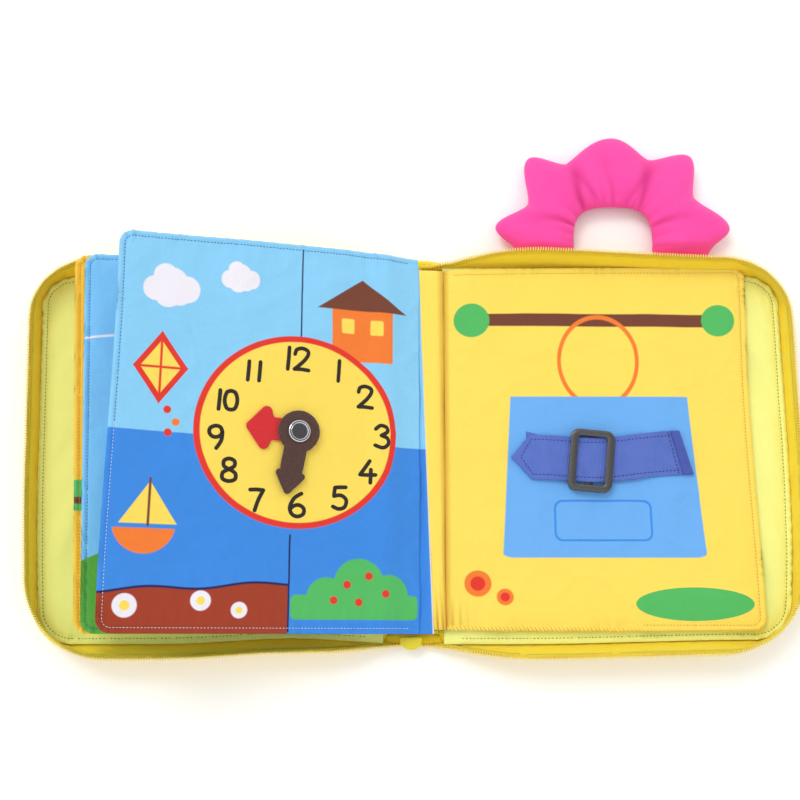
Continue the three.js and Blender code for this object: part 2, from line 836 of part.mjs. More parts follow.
// The handle is swept round its arch. Each section runs from the inner edge, a squarish arch, to the outer
// edge, which swells into five rays, and the two legs narrow to the seam outside the wall.
function addHandle() {
  const sections = [];
  const firstRay = Math.PI / 2 - raySpread * ((rayCount - 1) / 2);
  const outerAt = (angle) => {
    const phase = (angle - firstRay) / raySpread;
    const toRay = Math.abs(phase - Math.round(Math.min(Math.max(phase, 0), rayCount - 1)));
    const swell = Math.max(1 - toRay * 2, 0) ** raySharpness;
    return handleValley + (handleTip - handleValley) * swell;
  };
  const innerAt = (angle) => {
    const across = Math.abs(Math.cos(angle)) ** handleSquareness;
    const up = Math.abs(Math.sin(angle)) ** handleSquareness;
    return handleInner / (across + up) ** (1 / handleSquareness);
  };
  const section = (place, inner, outer, fill, height) => {
    const upper = [];
    const lower = [];
    for (let k = 0; k <= sectionSteps; k += 1) {
      const turn = (Math.PI * k) / sectionSteps;
      const share = (1 - Math.cos(turn)) / 2;
      const swell = fill * Math.sin(turn);
      const point = place(inner + (outer - inner) * share);
      upper.push(new THREE.Vector3(point.x, point.y, height + swell));
      if (k > 0 && k < sectionSteps) {
        lower.unshift(new THREE.Vector3(point.x, point.y, height - swell));
      }
    }
    return [...upper, ...lower];
  };
  const leg = (side, legShare) => {
    const y = handleSeamY + (handleY - handleSeamY) * legShare;
    const fill = handleSeamThick / 2 + (handleFill - handleSeamThick / 2) * legShare;
    const height = handleSeamZ + (handleZ - handleSeamZ) * legShare;
    const place = (radius) => new THREE.Vector2(handleX + side * radius, y);
    return section(place, handleInner, handleValley, fill, height);
  };
  sections.push(...legShares.map((share) => leg(1, share)));
  for (let i = 0; i <= handleSteps; i += 1) {
    const angle = (Math.PI * i) / handleSteps;
    const place = (radius) =>
      new THREE.Vector2(handleX + radius * Math.cos(angle), handleY + radius * Math.sin(angle));
    sections.push(section(place, innerAt(angle), outerAt(angle), handleFill, handleZ));
  }
  sections.push(...legShares.toReversed().map((share) => leg(-1, share)));
  addPiece(book, "carry_handle", loft(sections), colours.pink);
}

addCover("back", 1);
addCover("front", -1);
addSpine();
addSlider();
addClockLeaf();
addPile();
addBuckleLeaf();
addHandle();

export default book;
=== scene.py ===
from math import asin, atan2, ceil, cos, exp, hypot, pi, radians, sin, sqrt

import bpy
import numpy as np
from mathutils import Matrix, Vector, noise


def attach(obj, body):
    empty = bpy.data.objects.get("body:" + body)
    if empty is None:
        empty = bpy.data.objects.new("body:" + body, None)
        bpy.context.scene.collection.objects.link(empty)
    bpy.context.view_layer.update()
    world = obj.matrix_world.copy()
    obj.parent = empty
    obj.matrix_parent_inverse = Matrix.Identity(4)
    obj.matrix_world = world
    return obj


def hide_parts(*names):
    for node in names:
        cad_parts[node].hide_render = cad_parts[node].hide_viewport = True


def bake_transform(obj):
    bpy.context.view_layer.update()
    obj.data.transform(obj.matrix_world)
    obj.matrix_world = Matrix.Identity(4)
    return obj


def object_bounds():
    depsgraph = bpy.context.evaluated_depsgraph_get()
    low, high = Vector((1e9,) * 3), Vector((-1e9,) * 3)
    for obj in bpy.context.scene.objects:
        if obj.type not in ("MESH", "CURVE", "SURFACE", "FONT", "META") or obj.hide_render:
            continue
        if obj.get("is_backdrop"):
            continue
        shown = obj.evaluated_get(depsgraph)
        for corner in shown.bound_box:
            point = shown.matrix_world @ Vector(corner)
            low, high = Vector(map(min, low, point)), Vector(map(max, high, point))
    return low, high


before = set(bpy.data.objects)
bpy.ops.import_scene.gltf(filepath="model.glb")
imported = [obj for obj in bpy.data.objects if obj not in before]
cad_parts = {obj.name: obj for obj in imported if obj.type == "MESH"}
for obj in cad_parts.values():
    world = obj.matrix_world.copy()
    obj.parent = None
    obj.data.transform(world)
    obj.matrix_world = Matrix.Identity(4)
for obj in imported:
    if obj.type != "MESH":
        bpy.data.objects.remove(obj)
cad_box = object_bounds()
scene = bpy.context.scene
scene.view_settings.view_transform = "Standard"
MM = 0.001

# Camera: looks down on the open book from a little beyond its foot edge. The lens was fitted to the
# converging edges of the leaves, and everything is in focus.
eye = Vector((-8.0, -115.4, 748.2)) * MM
aim = Vector((-8.0, 27.7, 12.0)) * MM
lens = bpy.data.cameras.new("camera")
lens.lens = 55.58
lens.sensor_width = 36
lens.clip_start = 0.01
camera = bpy.data.objects.new("camera", lens)
camera.location = eye
camera.rotation_euler = (aim - eye).to_track_quat("-Z", "Y").to_euler()
scene.collection.objects.link(camera)
scene.camera = camera


# Table and light: a plain white table top under a big soft window light and an even sky, so that a
# colour renders about as it is written. The camera sees the surroundings white, and shiny things see them
# white with a dark patch of ceiling.
class Wire:
    """The output of a shader node. Python's operators on it add Math nodes."""

    def __init__(self, finish, socket):
        self.finish, self.socket = finish, socket

    def __add__(self, other):
        return self.finish.maths("ADD", self, other)

    def __sub__(self, other):
        return self.finish.maths("SUBTRACT", self, other)

    def __rsub__(self, other):
        return self.finish.maths("SUBTRACT", other, self)

    def __mul__(self, other):
        return self.finish.maths("MULTIPLY", self, other)

    def __abs__(self):
        return self.finish.maths("ABSOLUTE", self)

    def sine(self):
        return self.finish.maths("SINE", self)

    def wave(self, pitch):
        """A sine wave that repeats at the pitch."""
        return (self * (2 * pi / pitch)).sine()

    __radd__, __rmul__ = __add__, __mul__


class Finish:
    """A material, or the world, whose nodes are added one by one."""

    def __init__(self, owner):
        owner.use_nodes = True
        self.owner, self.tree = owner, owner.node_tree

    def node(self, kind, settings, *values, result=None, **named):
        node = self.tree.nodes.new(kind)
        for setting, value in settings.items():
            setattr(node, setting, value)
        live = [socket for socket in node.inputs if socket.enabled]
        pairs = list(zip(live, values))
        pairs += [(node.inputs[name.replace("_", " ")], value) for name, value in named.items()]
        for socket, value in pairs:
            self.plug(socket, value)
        outputs = [socket for socket in node.outputs if socket.enabled]
        return Wire(self, node.outputs[result] if result else outputs[0])

    def plug(self, socket, value):
        if isinstance(value, Wire):
            self.tree.links.new(value.socket, socket)
        else:
            socket.default_value = value

    def maths(self, operation, *values):
        return self.node("ShaderNodeMath", {"operation": operation}, *values)

    def mix(self, share, first, second, blend="MIX"):
        settings = {"data_type": "RGBA", "clamp_factor": True, "blend_type": blend}
        return self.node("ShaderNodeMix", settings, share, first, second)

    def clouded(self, place, scale, detail, **more):
        return self.node("ShaderNodeTexNoise", {}, place, Scale=scale, Detail=detail, **more)

    def in_mm(self, place):
        return self.node("ShaderNodeVectorMath", {"operation": "SCALE"}, place, Scale=1 / MM)

    def on_piece(self):
        return self.in_mm(self.node("ShaderNodeTexCoord", {}, result="Object"))

    def on_cloth(self):
        """The place on the uncut cloth, and its two coordinates."""
        flat = self.in_mm(self.node("ShaderNodeUVMap", {"uv_map": "flat"}))
        x = self.node("ShaderNodeSeparateXYZ", {}, flat)
        return flat, x, Wire(self, x.socket.node.outputs["Y"])

    def surface(self, colour, roughness, height=None, **constants):
        """Plug in the colour, the roughness and the relief in mm, and set the other values."""
        shader = self.tree.nodes["Principled BSDF"]
        self.plug(shader.inputs["Base Color"], colour)
        self.plug(shader.inputs["Roughness"], roughness)
        if height:
            relief = self.node("ShaderNodeBump", {}, Height=height, Strength=1.0, Distance=MM)
            self.plug(shader.inputs["Normal"], relief)
        for name, value in constants.items():
            shader.inputs[name.replace("_", " ")].default_value = value
        return self.owner


def tint(red, green, blue):
    """A colour as a screen shows it, 0 to 255, as the shader wants it."""
    channels = [value / 255 for value in (red, green, blue)]
    linear = [c / 12.92 if c <= 0.04045 else ((c + 0.055) / 1.055) ** 2.4 for c in channels]
    return (*linear, 1.0)


world = bpy.data.worlds.new("even sky")
scene.world = world
sky = Finish(world)
seen = sky.node("ShaderNodeLightPath", {}, result="Is Camera Ray")
mirrored = sky.node("ShaderNodeLightPath", {}, result="Is Glossy Ray")
background = sky.tree.nodes["Background"]
background.inputs["Color"].default_value = tint(255, 255, 255)
SKY_LEVEL, MIRROR_LEVEL, CEILING_LEVEL = 0.95, 0.95, 0.1
direction = sky.node("ShaderNodeTexCoord", {}, result="Generated")
toward = sky.node("ShaderNodeVectorMath", {"operation": "DOT_PRODUCT"}, direction, (0.5, 0.12, 0.86))
ceiling = sky.node("ShaderNodeMapRange", {"clamp": True}, toward, 0.9, 0.95, MIRROR_LEVEL, CEILING_LEVEL)
level = seen * (1 - SKY_LEVEL) + mirrored * (ceiling - SKY_LEVEL) + SKY_LEVEL
sky.plug(background.inputs["Strength"], level)

window = bpy.data.lights.new("window light", "SUN")
window.energy = 0.85
window.angle = radians(26)
lamp = bpy.data.objects.new("window light", window)
lamp.rotation_euler = Vector((-0.34, 0.5, 0.79)).to_track_quat("Z", "Y").to_euler()
scene.collection.objects.link(lamp)


def build(name, points, faces, finishes, flat=None, kinds=None, smooth=True, closed=True):
    """A mesh object from points in mm. flat gives each face corner its place on the uncut cloth, in mm."""
    points = np.array(points, dtype=float) * MM
    if closed:
        volume = 0.0
        for face in faces:
            first = points[face[0]]
            for second, third in zip(face[1:], face[2:]):
                volume += np.dot(first, np.cross(points[second], points[third]))
        if volume < 0:
            faces = [tuple(reversed(face)) for face in faces]
            flat = [tuple(reversed(corners)) for corners in flat] if flat else None
    mesh = bpy.data.meshes.new(name)
    mesh.from_pydata(points.tolist(), [], faces)
    for finish in finishes:
        mesh.materials.append(finish)
    if kinds:
        mesh.polygons.foreach_set("material_index", kinds)
    if flat:
        layer = mesh.uv_layers.new(name="flat")
        corners = np.array([place for face in flat for place in face], dtype=float) * MM
        layer.data.foreach_set("uv", corners.ravel())
    mesh.polygons.foreach_set("use_smooth", [smooth] * len(faces))
    mesh.update()
    piece = bpy.data.objects.new(name, mesh)
    scene.collection.objects.link(piece)
    return piece


TABLE_HALF, TABLE_DROP = 4000, -0.25
table = Finish(bpy.data.materials.new("white table top")).surface(tint(254, 254, 254), 0.85)
square = [(-1, -1), (1, -1), (1, 1), (-1, 1)]
corners = [(x * TABLE_HALF, y * TABLE_HALF, TABLE_DROP) for x, y in square]
top = build("table_top", corners, [(0, 1, 2, 3)], [table], closed=False, smooth=False)
top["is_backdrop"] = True


# Outer cloth of the case: a golden polyester twill over a foam board, one panel for each cover and one for
# the spine. Each panel is quilted to its board at the edges.
class PrintAndShade:
    """Masks in mm on the uncut cloth, for what is printed on it and for painted shade."""

    def __init__(self, finish, x, y):
        self.finish, self.x, self.y = finish, x, y

    def under(self, value, edge, soft=0.35):
        """1 where the value is under the edge and 0 over it, with a soft line as dye has."""
        limits = edge - soft, edge + soft, 1.0, 0.0
        return self.finish.node("ShaderNodeMapRange", {"clamp": True}, value, *limits)

    def either(self, *masks):
        whole = masks[0]
        for mask in masks[1:]:
            whole = self.finish.maths("MAXIMUM", whole, mask)
        return whole

    def near(self, dx, dy, reach, soft=0.35):
        return self.under(self.finish.maths("SQRT", dx * dx + dy * dy), reach, soft)

    def disc(self, centre, radius, stretch=1.0):
        return self.near(self.x - centre[0], (self.y - centre[1]) * stretch, radius)

    def box(self, low_x, high_x, low_y, high_y, corner=1.5, soft=0.35):
        beyond = []
        for place, low, high in ((self.x, low_x, high_x), (self.y, low_y, high_y)):
            past = abs(place - (low + high) / 2) - ((high - low) / 2 - corner)
            beyond.append(self.finish.maths("MAXIMUM", past, 0.0))
        return self.near(*beyond, corner, soft)

    def cloud(self, centre, size):
        lobes = (0, 0, 1.0), (0.9, -0.25, 0.72), (-0.9, -0.2, 0.75)
        lobes += (0.35, 0.5, 0.7), (0.2, -0.5, 0.8), (-0.45, -0.45, 0.7)
        x, y = centre
        parts = [self.disc((x + dx * size, y + dy * size), size * share) for dx, dy, share in lobes]
        return self.either(*parts)


def cloth(name, colour, print_and_painted_shade=None, weave=0.42, depth=0.05, rumple=0.1, glow=0.0):
    """A woven cloth. The function given after its colour yields the masks and colours of its print and of any
    painted shade, one over the other, and glow is how much light a single cloth lets through."""
    finish = Finish(bpy.data.materials.new(name))
    flat, x, y = finish.on_cloth()
    uneven = finish.clouded(flat, 0.035, 4.0, Roughness=0.6)
    slub = finish.clouded(flat, 1.6, 2.0)
    for mask, print_and_shade_colour in print_and_painted_shade(PrintAndShade(finish, x, y)) if print_and_painted_shade else ():
        colour = finish.mix(mask, colour, print_and_shade_colour)
    darker = finish.mix(1.0, colour, (0.80, 0.76, 0.70, 1.0), "MULTIPLY")
    threads = x.wave(weave) * y.wave(weave)
    shade = finish.mix((uneven - 0.35) * 0.3 + (slub - 0.5) * 0.18 + threads * 0.132, colour, darker)
    rumpled = finish.clouded(flat, 0.11, 5.0, Roughness=0.55)
    height = threads * depth + slub * (depth * 2) + rumpled * (rumple * 10)
    sheer = {"Subsurface_Weight": glow, "Subsurface_Radius": (0.2, 0.2, 0.2), "Subsurface_Scale": 9 * MM}
    nap = {"Sheen_Weight": 0.12, "Sheen_Roughness": 0.5, "Specular_IOR_Level": 0.25}
    return finish.surface(shade, slub * 0.16 + 0.7, height, **nap, **sheer)


def fit(piece, slot, *nodes, body=None):
    """Hides the solids that a piece stands for, and attaches it to the body it rides on if one is given.
    The slot is not used."""
    if nodes:
        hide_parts(*nodes)
    if body:
        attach(piece, body)


def stations(start, end, step, fine):
    """Places from start to end, a step apart, with the fine list of distances at both ends."""
    inner = max(fine)
    count = max(ceil((end - start - 2 * inner) / step), 1)
    middle = [start + inner + (end - start - 2 * inner) * i / count for i in range(count + 1)]
    low = [start + distance for distance in fine if distance < inner]
    high = [end - distance for distance in reversed(fine) if distance < inner]
    return low + middle + high


def shares_across(low, high, step, fine):
    """The same places as shares of the width."""
    return [(y - low) / (high - low) for y in stations(low, high, step, fine)]


def smooth_step(low, high, value):
    share = min(max((value - low) / (high - low), 0), 1)
    return share * share * (3 - 2 * share)


def bell(value, width):
    return exp(-((value / width) ** 2))


def ripple(x, y, z):
    return noise.noise(Vector((x, y, z)))


def pad(name, xs, shares, outline, skin, spot, finishes):
    """A closed pad over a grid. outline(x) is the edge across, skin(x, y, inset) the under and upper
    height, and spot(x, y, height) the place in the book. A second finish is for the underside."""
    points, flat, under = [], [], []
    for x in xs:
        low, high = outline(x)
        for share in shares:
            y = low + (high - low) * share
            bottom, upper = skin(x, y, min(y - low, high - y, x - xs[0], xs[-1] - x))
            points.append(spot(x, y, upper))
            under.append(spot(x, y, bottom))
            flat.append((x, y))
    wide, many = len(shares), len(points)
    points += under
    flat += flat
    faces, kinds = [], []
    for i in range(len(xs) - 1):
        for j in range(wide - 1):
            a = i * wide + j
            faces.append((a, a + 1, a + wide + 1, a + wide))
            faces.append((many + a + wide, many + a + wide + 1, many + a + 1, many + a))
            kinds += [0, len(finishes) - 1]
    last = (len(xs) - 1) * wide
    border = [(i, i + 1) for i in range(last, last + wide - 1)]
    border += [(i + 1, i) for i in range(wide - 1)]
    for i in range(0, last, wide):
        border += [(i, i + wide), (i + 2 * wide - 1, i + wide - 1)]
    faces += [(a, b, many + b, many + a) for a, b in border]
    kinds += [0] * len(border)
    spread = [tuple(flat[corner] for corner in face) for face in faces]
    return build(name, points, faces, finishes, spread, kinds)


def rounded(end, low, high, corner):
    """The outline of a panel across its width at x, with round corners at its far end."""

    def outline(x):
        past = max(x - (end - corner), 0)
        cut = corner - sqrt(max(corner**2 - past**2, 0))
        return low + cut, high - cut

    return outline


def inside(x, y, end, low, high, corner):
    """How far a place lies inside the far edge and the sides of a panel with round far corners."""
    past, across = end - x, min(y - low, high - y)
    if past < corner and across < corner:
        return corner - hypot(corner - past, corner - across)
    return min(past, across)


def crown(inset, band):
    """How full a stuffed edge is at a distance inside its seam, from 0 to 1."""
    return sin(min(max(inset / band, 0), 1) * pi / 2)


def corner_stations(xs, end, corner):
    """The same stations, with more of them round the corners at the far end."""
    kept = [x for x in xs if x < end - corner]
    return kept + [end - corner + corner * sin(i * pi / 48) for i in range(25)]


NAMES = {1: "back", -1: "front"}
COVER_END, COVER_FOOT, COVER_HEAD = 227.5, -117.0, 112.5
SPINE_HALF = 112.0
PANEL = 227.2, -116.8, 112.3, 18
FINE = [0, 0.35, 0.9, 1.7, 2.8, 4, 5.5, 7.5]
case_cloth = cloth("golden twill", tint(255, 219, 44), weave=0.6, rumple=0.05, glow=1.0)


def case_place(side, x, y, z):
    """The soft case isn't square: its covers narrow towards the fore corners, and the front one is askew."""
    far, head, foot = smooth_step(60, 210, x), max(y, 0) / 115, max(-y, 0) / 115
    if side > 0:
        out, along = -1.0 * head - 6.0 * foot**3, far * (2.6 * foot - 5.5 * head)
    else:
        out, along = 3.0 * head - 6.3 * foot**1.5, 3.3 * bell(x - 75, 45) * foot - 6.0 * far * head
    return (x + out * x / 230) * side, y + along, z


def in_case(side):
    return lambda x, y, z: case_place(side, x, y, z)


def as_it_lies(x, y, z):
    return x, y, z


def over_crease(piece, side):
    """Bakes the piece's place in the world into its mesh."""
    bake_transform(piece)


def cover_panel(side):
    end, foot, head, corner = PANEL

    def outline(x):
        spread = smooth_step(15.2, 18, x)
        low, high = rounded(*PANEL)(x)
        return low * spread - SPINE_HALF * (1 - spread), high * spread + SPINE_HALF * (1 - spread)

    def skin(x, y, inset):
        inset = min(inside(x, y, *PANEL), inset)
        full = crown(inset, 3.5)
        seam = 0.35 * bell(inset - 5.0, 0.8)
        bow = 0.25 * ripple(x / 34, y / 34, side)
        return 1.5 * (1 - full) + seam * 0.5, 2.0 + 1.35 * full - seam + bow * full * 0.3

    xs = corner_stations(stations(15.2, end, 4, FINE), end, corner)
    name = NAMES[side]
    shares = shares_across(foot, head, 4, FINE)
    panel = pad(f"{name}_cover_panel", xs, shares, outline, skin, in_case(side), [case_cloth])
    fit(panel, "case_cloth", f"{name}_cover_cloth", f"{name}_cover_foam")
    over_crease(panel, side)


cover_panel(1)
cover_panel(-1)


def spine_skin(x, y, inset):
    full = crown(inset, 3)
    return 1.2 * (1 - full), 1.8 + 1.5 * full


spine_panel = pad(
    "spine_panel",
    stations(-15.6, 15.6, 3, FINE),
    shares_across(-SPINE_HALF, SPINE_HALF, 4, FINE),
    lambda x: (-SPINE_HALF, SPINE_HALF),
    spine_skin,
    as_it_lies,
    [case_cloth],
)
fit(spine_panel, "case_cloth", "spine_cloth", "spine_foam", body="spine")


# Gusset: a strip of the same twill that stands round each cover as a low soft wall. It leans outwards, is
# gathered a little round the corners, and dies away over the spine where the zip begins and ends.
RIM_END, RIM_FOOT, RIM_HEAD = 230.5, -126.5, 120.5
RIM_FOOT_CORNER, RIM_HEAD_CORNER, BASE_CORNER = 48, 40, 16
RIM_HEIGHT, LOW_HEIGHT, FOOT_HEIGHT, WALL_RISE = 24.4, 10.2, 5.2, 62
WALL_THICK, TAPE_OVERLAP = 1.5, 3.8
WALL_STARTS = {1: 5.6, -1: 8.6}


def round_case(start, end, foot, head, foot_corner, head_corner):
    """The outline of a cover from the foot crease round to the head crease."""
    points = []

    def straight(x0, y0, x1, y1, count):
        points.extend((x0 + (x1 - x0) * i / count, y0 + (y1 - y0) * i / count) for i in range(count))

    def corner(x, y, radius, turn, count=28):
        angles = [turn + pi / 2 * i / count for i in range(count)]
        points.extend((x + radius * cos(angle), y + radius * sin(angle)) for angle in angles)

    straight(start, foot, end - foot_corner, foot, 90)
    corner(end - foot_corner, foot + foot_corner, foot_corner, -pi / 2)
    straight(end, foot + foot_corner, end, head - head_corner, 70)
    corner(end - head_corner, head - head_corner, head_corner, 0)
    straight(end - head_corner, head, start, head, 90)
    return points + [(start, head)]


def rim_height(x):
    if x < 25.5:
        return FOOT_HEIGHT + (LOW_HEIGHT - FOOT_HEIGHT) * smooth_step(6, 26, x)
    share = min((x - 25.5) / WALL_RISE, 1)
    return LOW_HEIGHT + (RIM_HEIGHT - LOW_HEIGHT) * (1 - (1 - share) ** 2)


def wall_run(side):
    """Stations round a cover: the base place, the rim place, the way out, the height and the run in mm."""
    start = WALL_STARTS[side]
    base = round_case(start, COVER_END, COVER_FOOT, COVER_HEAD, BASE_CORNER, BASE_CORNER)
    rim = round_case(start, RIM_END, RIM_FOOT, RIM_HEAD, RIM_FOOT_CORNER, RIM_HEAD_CORNER)
    run, distance = [], 0.0
    for i, place in enumerate(base):
        before, after = base[max(i - 1, 0)], base[min(i + 1, len(base) - 1)]
        length = hypot(after[0] - before[0], after[1] - before[1])
        out = ((after[1] - before[1]) / length, -(after[0] - before[0]) / length)
        if i:
            distance += hypot(rim[i][0] - rim[i - 1][0], rim[i][1] - rim[i - 1][1])
        run.append((place, rim[i], out, rim_height(place[0]), distance))
    return run


def wall_point(side, station, height, shift):
    base, rim, out, _, _ = station
    share = height / RIM_HEIGHT
    x = base[0] + (rim[0] - base[0]) * share + out[0] * shift
    y = base[1] + (rim[1] - base[1]) * share + out[1] * shift
    return case_place(side, x, y, height)


def ring_faces(rings, count, first=0, joined=False):
    """Faces between rings of count points, from the point numbered first. The rings are joined end to end,
    or else the first and the last are closed."""
    faces = []
    for i in range(rings if joined else rings - 1):
        here, after = first + i * count, first + (i + 1) % rings * count
        for j in range(count):
            k = (j + 1) % count
            faces.append((here + j, here + k, after + k, after + j))
    if not joined:
        last = first + (rings - 1) * count
        faces += [tuple(range(first + count - 1, first - 1, -1)), tuple(range(last, last + count))]
    return faces


def tube(name, rings, finishes, flat=None, joined=False):
    """A closed skin through rings of points, with flat places (run, round) for its cloth."""
    count = len(rings[0])
    spread = []
    if flat:
        runs, rounds = flat
        for run, on in zip(runs, runs[1:]):
            for near, far in zip(rounds, rounds[1 : count + 1]):
                spread.append(((run, near), (run, far), (on, far), (on, near)))
        spread.append(tuple((runs[0], rounds[j]) for j in range(count - 1, -1, -1)))
        spread.append(tuple((runs[-1], rounds[j]) for j in range(count)))
    points = [point for ring in rings for point in ring]
    return build(name, points, ring_faces(len(rings), count, joined=joined), finishes, spread or None)


def gusset(side):
    rings, runs, heights = [], [], []
    for station in wall_run(side):
        base, _, _, height, distance = station
        top = max(height - TAPE_OVERLAP, 1.6)
        outer, inner = [], []
        for level in range(9):
            share = level / 8
            z = 0.3 + (top - 0.3) * share
            bulge = 1.1 * sin(pi * share) * smooth_step(6, 20, height)
            pleat = 0.8 * ripple(distance / 9, share * 1.5, side * 3) * sin(pi * share)
            soft = 0.25 * ripple(distance / 3.4, share * 2.5, side * 7) * sin(pi * share)
            free = 0.3 if base[1] > COVER_HEAD - 0.5 else 1
            lean = (bulge + (pleat + soft) * smooth_step(5, 14, height)) * free
            half = WALL_THICK / 2 - (0.4 if level in (0, 8) else 0)
            outer.append(wall_point(side, station, z, lean + half))
            inner.append(wall_point(side, station, z, lean - half))
        rings.append(outer + inner[::-1])
        runs.append(distance)
        heights.append(top)
    rounds = [i * 2.6 for i in range(9)] + [i * 2.6 + 22 for i in range(10)]
    wall = tube(f"{NAMES[side]}_gusset_cloth", rings, [case_cloth], (runs, rounds))
    fit(wall, "case_cloth", f"{NAMES[side]}_gusset")
    over_crease(wall, side)
    return wall, runs, heights


walls = {side: gusset(side) for side in (1, -1)}


# Zip: a woven tape along the top of each wall with a moulded spiral of teeth on its edge, 1.5 mm apart. The
# teeth are repeated along the rim. The chain begins at the foot of the spine, under the slider.
def repeat_tree():
    """Geometry nodes: small rounded beads in a row along a path, turned with it."""
    tree = bpy.data.node_groups.new("row of beads along a path", "GeometryNodeTree")
    inputs = {"Path": "Geometry", "Finish": "Material", "Sides": "Int", "Seed": "Int"}
    inputs |= {name: "Float" for name in ("Pitch", "Length", "Width", "Height", "Turn")}
    for name, kind in inputs.items():
        tree.interface.new_socket(name, in_out="INPUT", socket_type=f"NodeSocket{kind}")
    tree.interface.new_socket("Beads", in_out="OUTPUT", socket_type="NodeSocketGeometry")

    def add(kind, links, **settings):
        node = tree.nodes.new(kind)
        for name, value in settings.items():
            setattr(node, name, value)
        for socket, source in links.items():
            target = node.inputs[socket]
            if hasattr(source, "is_output"):
                tree.links.new(source, target)
            else:
                target.default_value = source
        return node

    given = tree.nodes.new("NodeGroupInput").outputs
    curve = add("GeometryNodeMeshToCurve", {"Mesh": given["Path"]})
    spaced = add("GeometryNodeResampleCurve", {"Curve": curve.outputs[0]}, mode="LENGTH")
    tree.links.new(given["Pitch"], spaced.inputs["Length"])
    tangent = add("GeometryNodeInputTangent", {})
    upward = add("GeometryNodeInputNamedAttribute", {"Name": "up"}, data_type="FLOAT_VECTOR")
    along = add("FunctionNodeAlignRotationToVector", {"Vector": tangent.outputs[0]}, axis="X")
    facing = {"Rotation": along.outputs[0], "Vector": upward.outputs[0]}
    upright = add("FunctionNodeAlignRotationToVector", facing, axis="Z", pivot_axis="X")
    bead = add("GeometryNodeMeshUVSphere", {"Segments": given["Sides"], "Rings": 5, "Radius": 0.5})
    size = add("ShaderNodeCombineXYZ", {"X": given["Length"], "Y": given["Width"], "Z": given["Height"]})
    loose = add("ShaderNodeMath", {0: given["Turn"], 1: -1.0}, operation="MULTIPLY")
    wobble = add("FunctionNodeRandomValue", {"Seed": given["Seed"]}, data_type="FLOAT")
    tree.links.new(loose.outputs[0], wobble.inputs[2])
    tree.links.new(given["Turn"], wobble.inputs[3])
    twist = add("ShaderNodeCombineXYZ", {"Z": wobble.outputs[1]})
    seats = {"Points": spaced.outputs[0], "Instance": bead.outputs[0]}
    seats |= {"Rotation": upright.outputs[0], "Scale": size.outputs[0]}
    placed = add("GeometryNodeInstanceOnPoints", seats)
    turned = add("GeometryNodeRotateInstances", {"Instances": placed.outputs[0], "Rotation": twist.outputs[0]})
    real = add("GeometryNodeRealizeInstances", {"Geometry": turned.outputs[0]})
    soft = add("GeometryNodeSetShadeSmooth", {0: real.outputs[0]})
    coloured = add("GeometryNodeSetMaterial", {"Geometry": soft.outputs[0], "Material": given["Finish"]})
    add("NodeGroupOutput", {0: coloured.outputs[0]})
    return tree


beads = repeat_tree()


def row(name, paths, finish, pitch, length, width, height, turn=0.0, sides=6, seed=1):
    """Beads along paths of (place, upward) pairs in mm, as one plain mesh."""
    places, edges, ups = [], [], []
    for path in paths:
        first = len(places)
        for place, up in path:
            places.append([value * MM for value in place])
            ups.extend(up)
        edges += [(i, i + 1) for i in range(first, len(places) - 1)]
    mesh = bpy.data.meshes.new(name)
    mesh.from_pydata(places, edges, [])
    mesh.attributes.new("up", "FLOAT_VECTOR", "POINT").data.foreach_set("vector", ups)
    piece = bpy.data.objects.new(name, mesh)
    scene.collection.objects.link(piece)
    maker = piece.modifiers.new("row", "NODES")
    maker.node_group = beads
    values = {"Pitch": pitch * MM, "Length": length * MM, "Width": width * MM, "Height": height * MM}
    values |= {"Turn": turn, "Sides": sides, "Seed": seed, "Finish": finish}
    for socket in beads.interface.items_tree:
        if socket.in_out == "INPUT" and socket.name in values:
            maker[socket.identifier] = values[socket.name]
    ready = bpy.context.evaluated_depsgraph_get()
    piece.data = bpy.data.meshes.new_from_object(piece.evaluated_get(ready), depsgraph=ready)
    piece.data.name = name
    piece.modifiers.clear()
    bpy.data.meshes.remove(mesh)
    return piece


def deeper(colour, share):
    return tuple(channel * share for channel in colour[:3]) + (1.0,)


def plastic(name, colour, roughness=0.35, coat=0.0, grain=0.02):
    finish = Finish(bpy.data.materials.new(name))
    place = finish.on_piece()
    worn = finish.clouded(place, 0.35, 5.0, Roughness=0.7)
    skin = finish.clouded(place, 4.0, 3.0)
    colour = finish.mix(worn, colour, deeper(colour, 0.78))
    rough = worn * 0.18 + (roughness - 0.09)
    return finish.surface(colour, rough, skin * grain + worn * grain, Coat_Weight=coat, Coat_Roughness=0.15)


TOOTH_PITCH = 1.55
UPWARD = (0.0, 0.0, 1.0)
TAPE_SECTION = [(-6.6, 0.45), (-4.5, 0.5), (-2.6, 0.5), (-2.1, 0.3)]
TAPE_SECTION += [(z, -shift) for z, shift in reversed(TAPE_SECTION)]


def tape_painted_shade(paint):
    """Painted shade between the teeth, along the edge that they are sewn on."""
    yield paint.x.wave(TOOTH_PITCH) * paint.under(abs(paint.y - 6), 2.6) * 0.85, tint(176, 132, 22)


TAPE_GOLD = tint(252, 212, 38)
tape_cloth = cloth("zip tape weave", TAPE_GOLD, tape_painted_shade, weave=0.8, depth=0.09, rumple=0.02, glow=0.9)
teeth_plastic = plastic("zip teeth", tint(255, 232, 118), roughness=0.38)


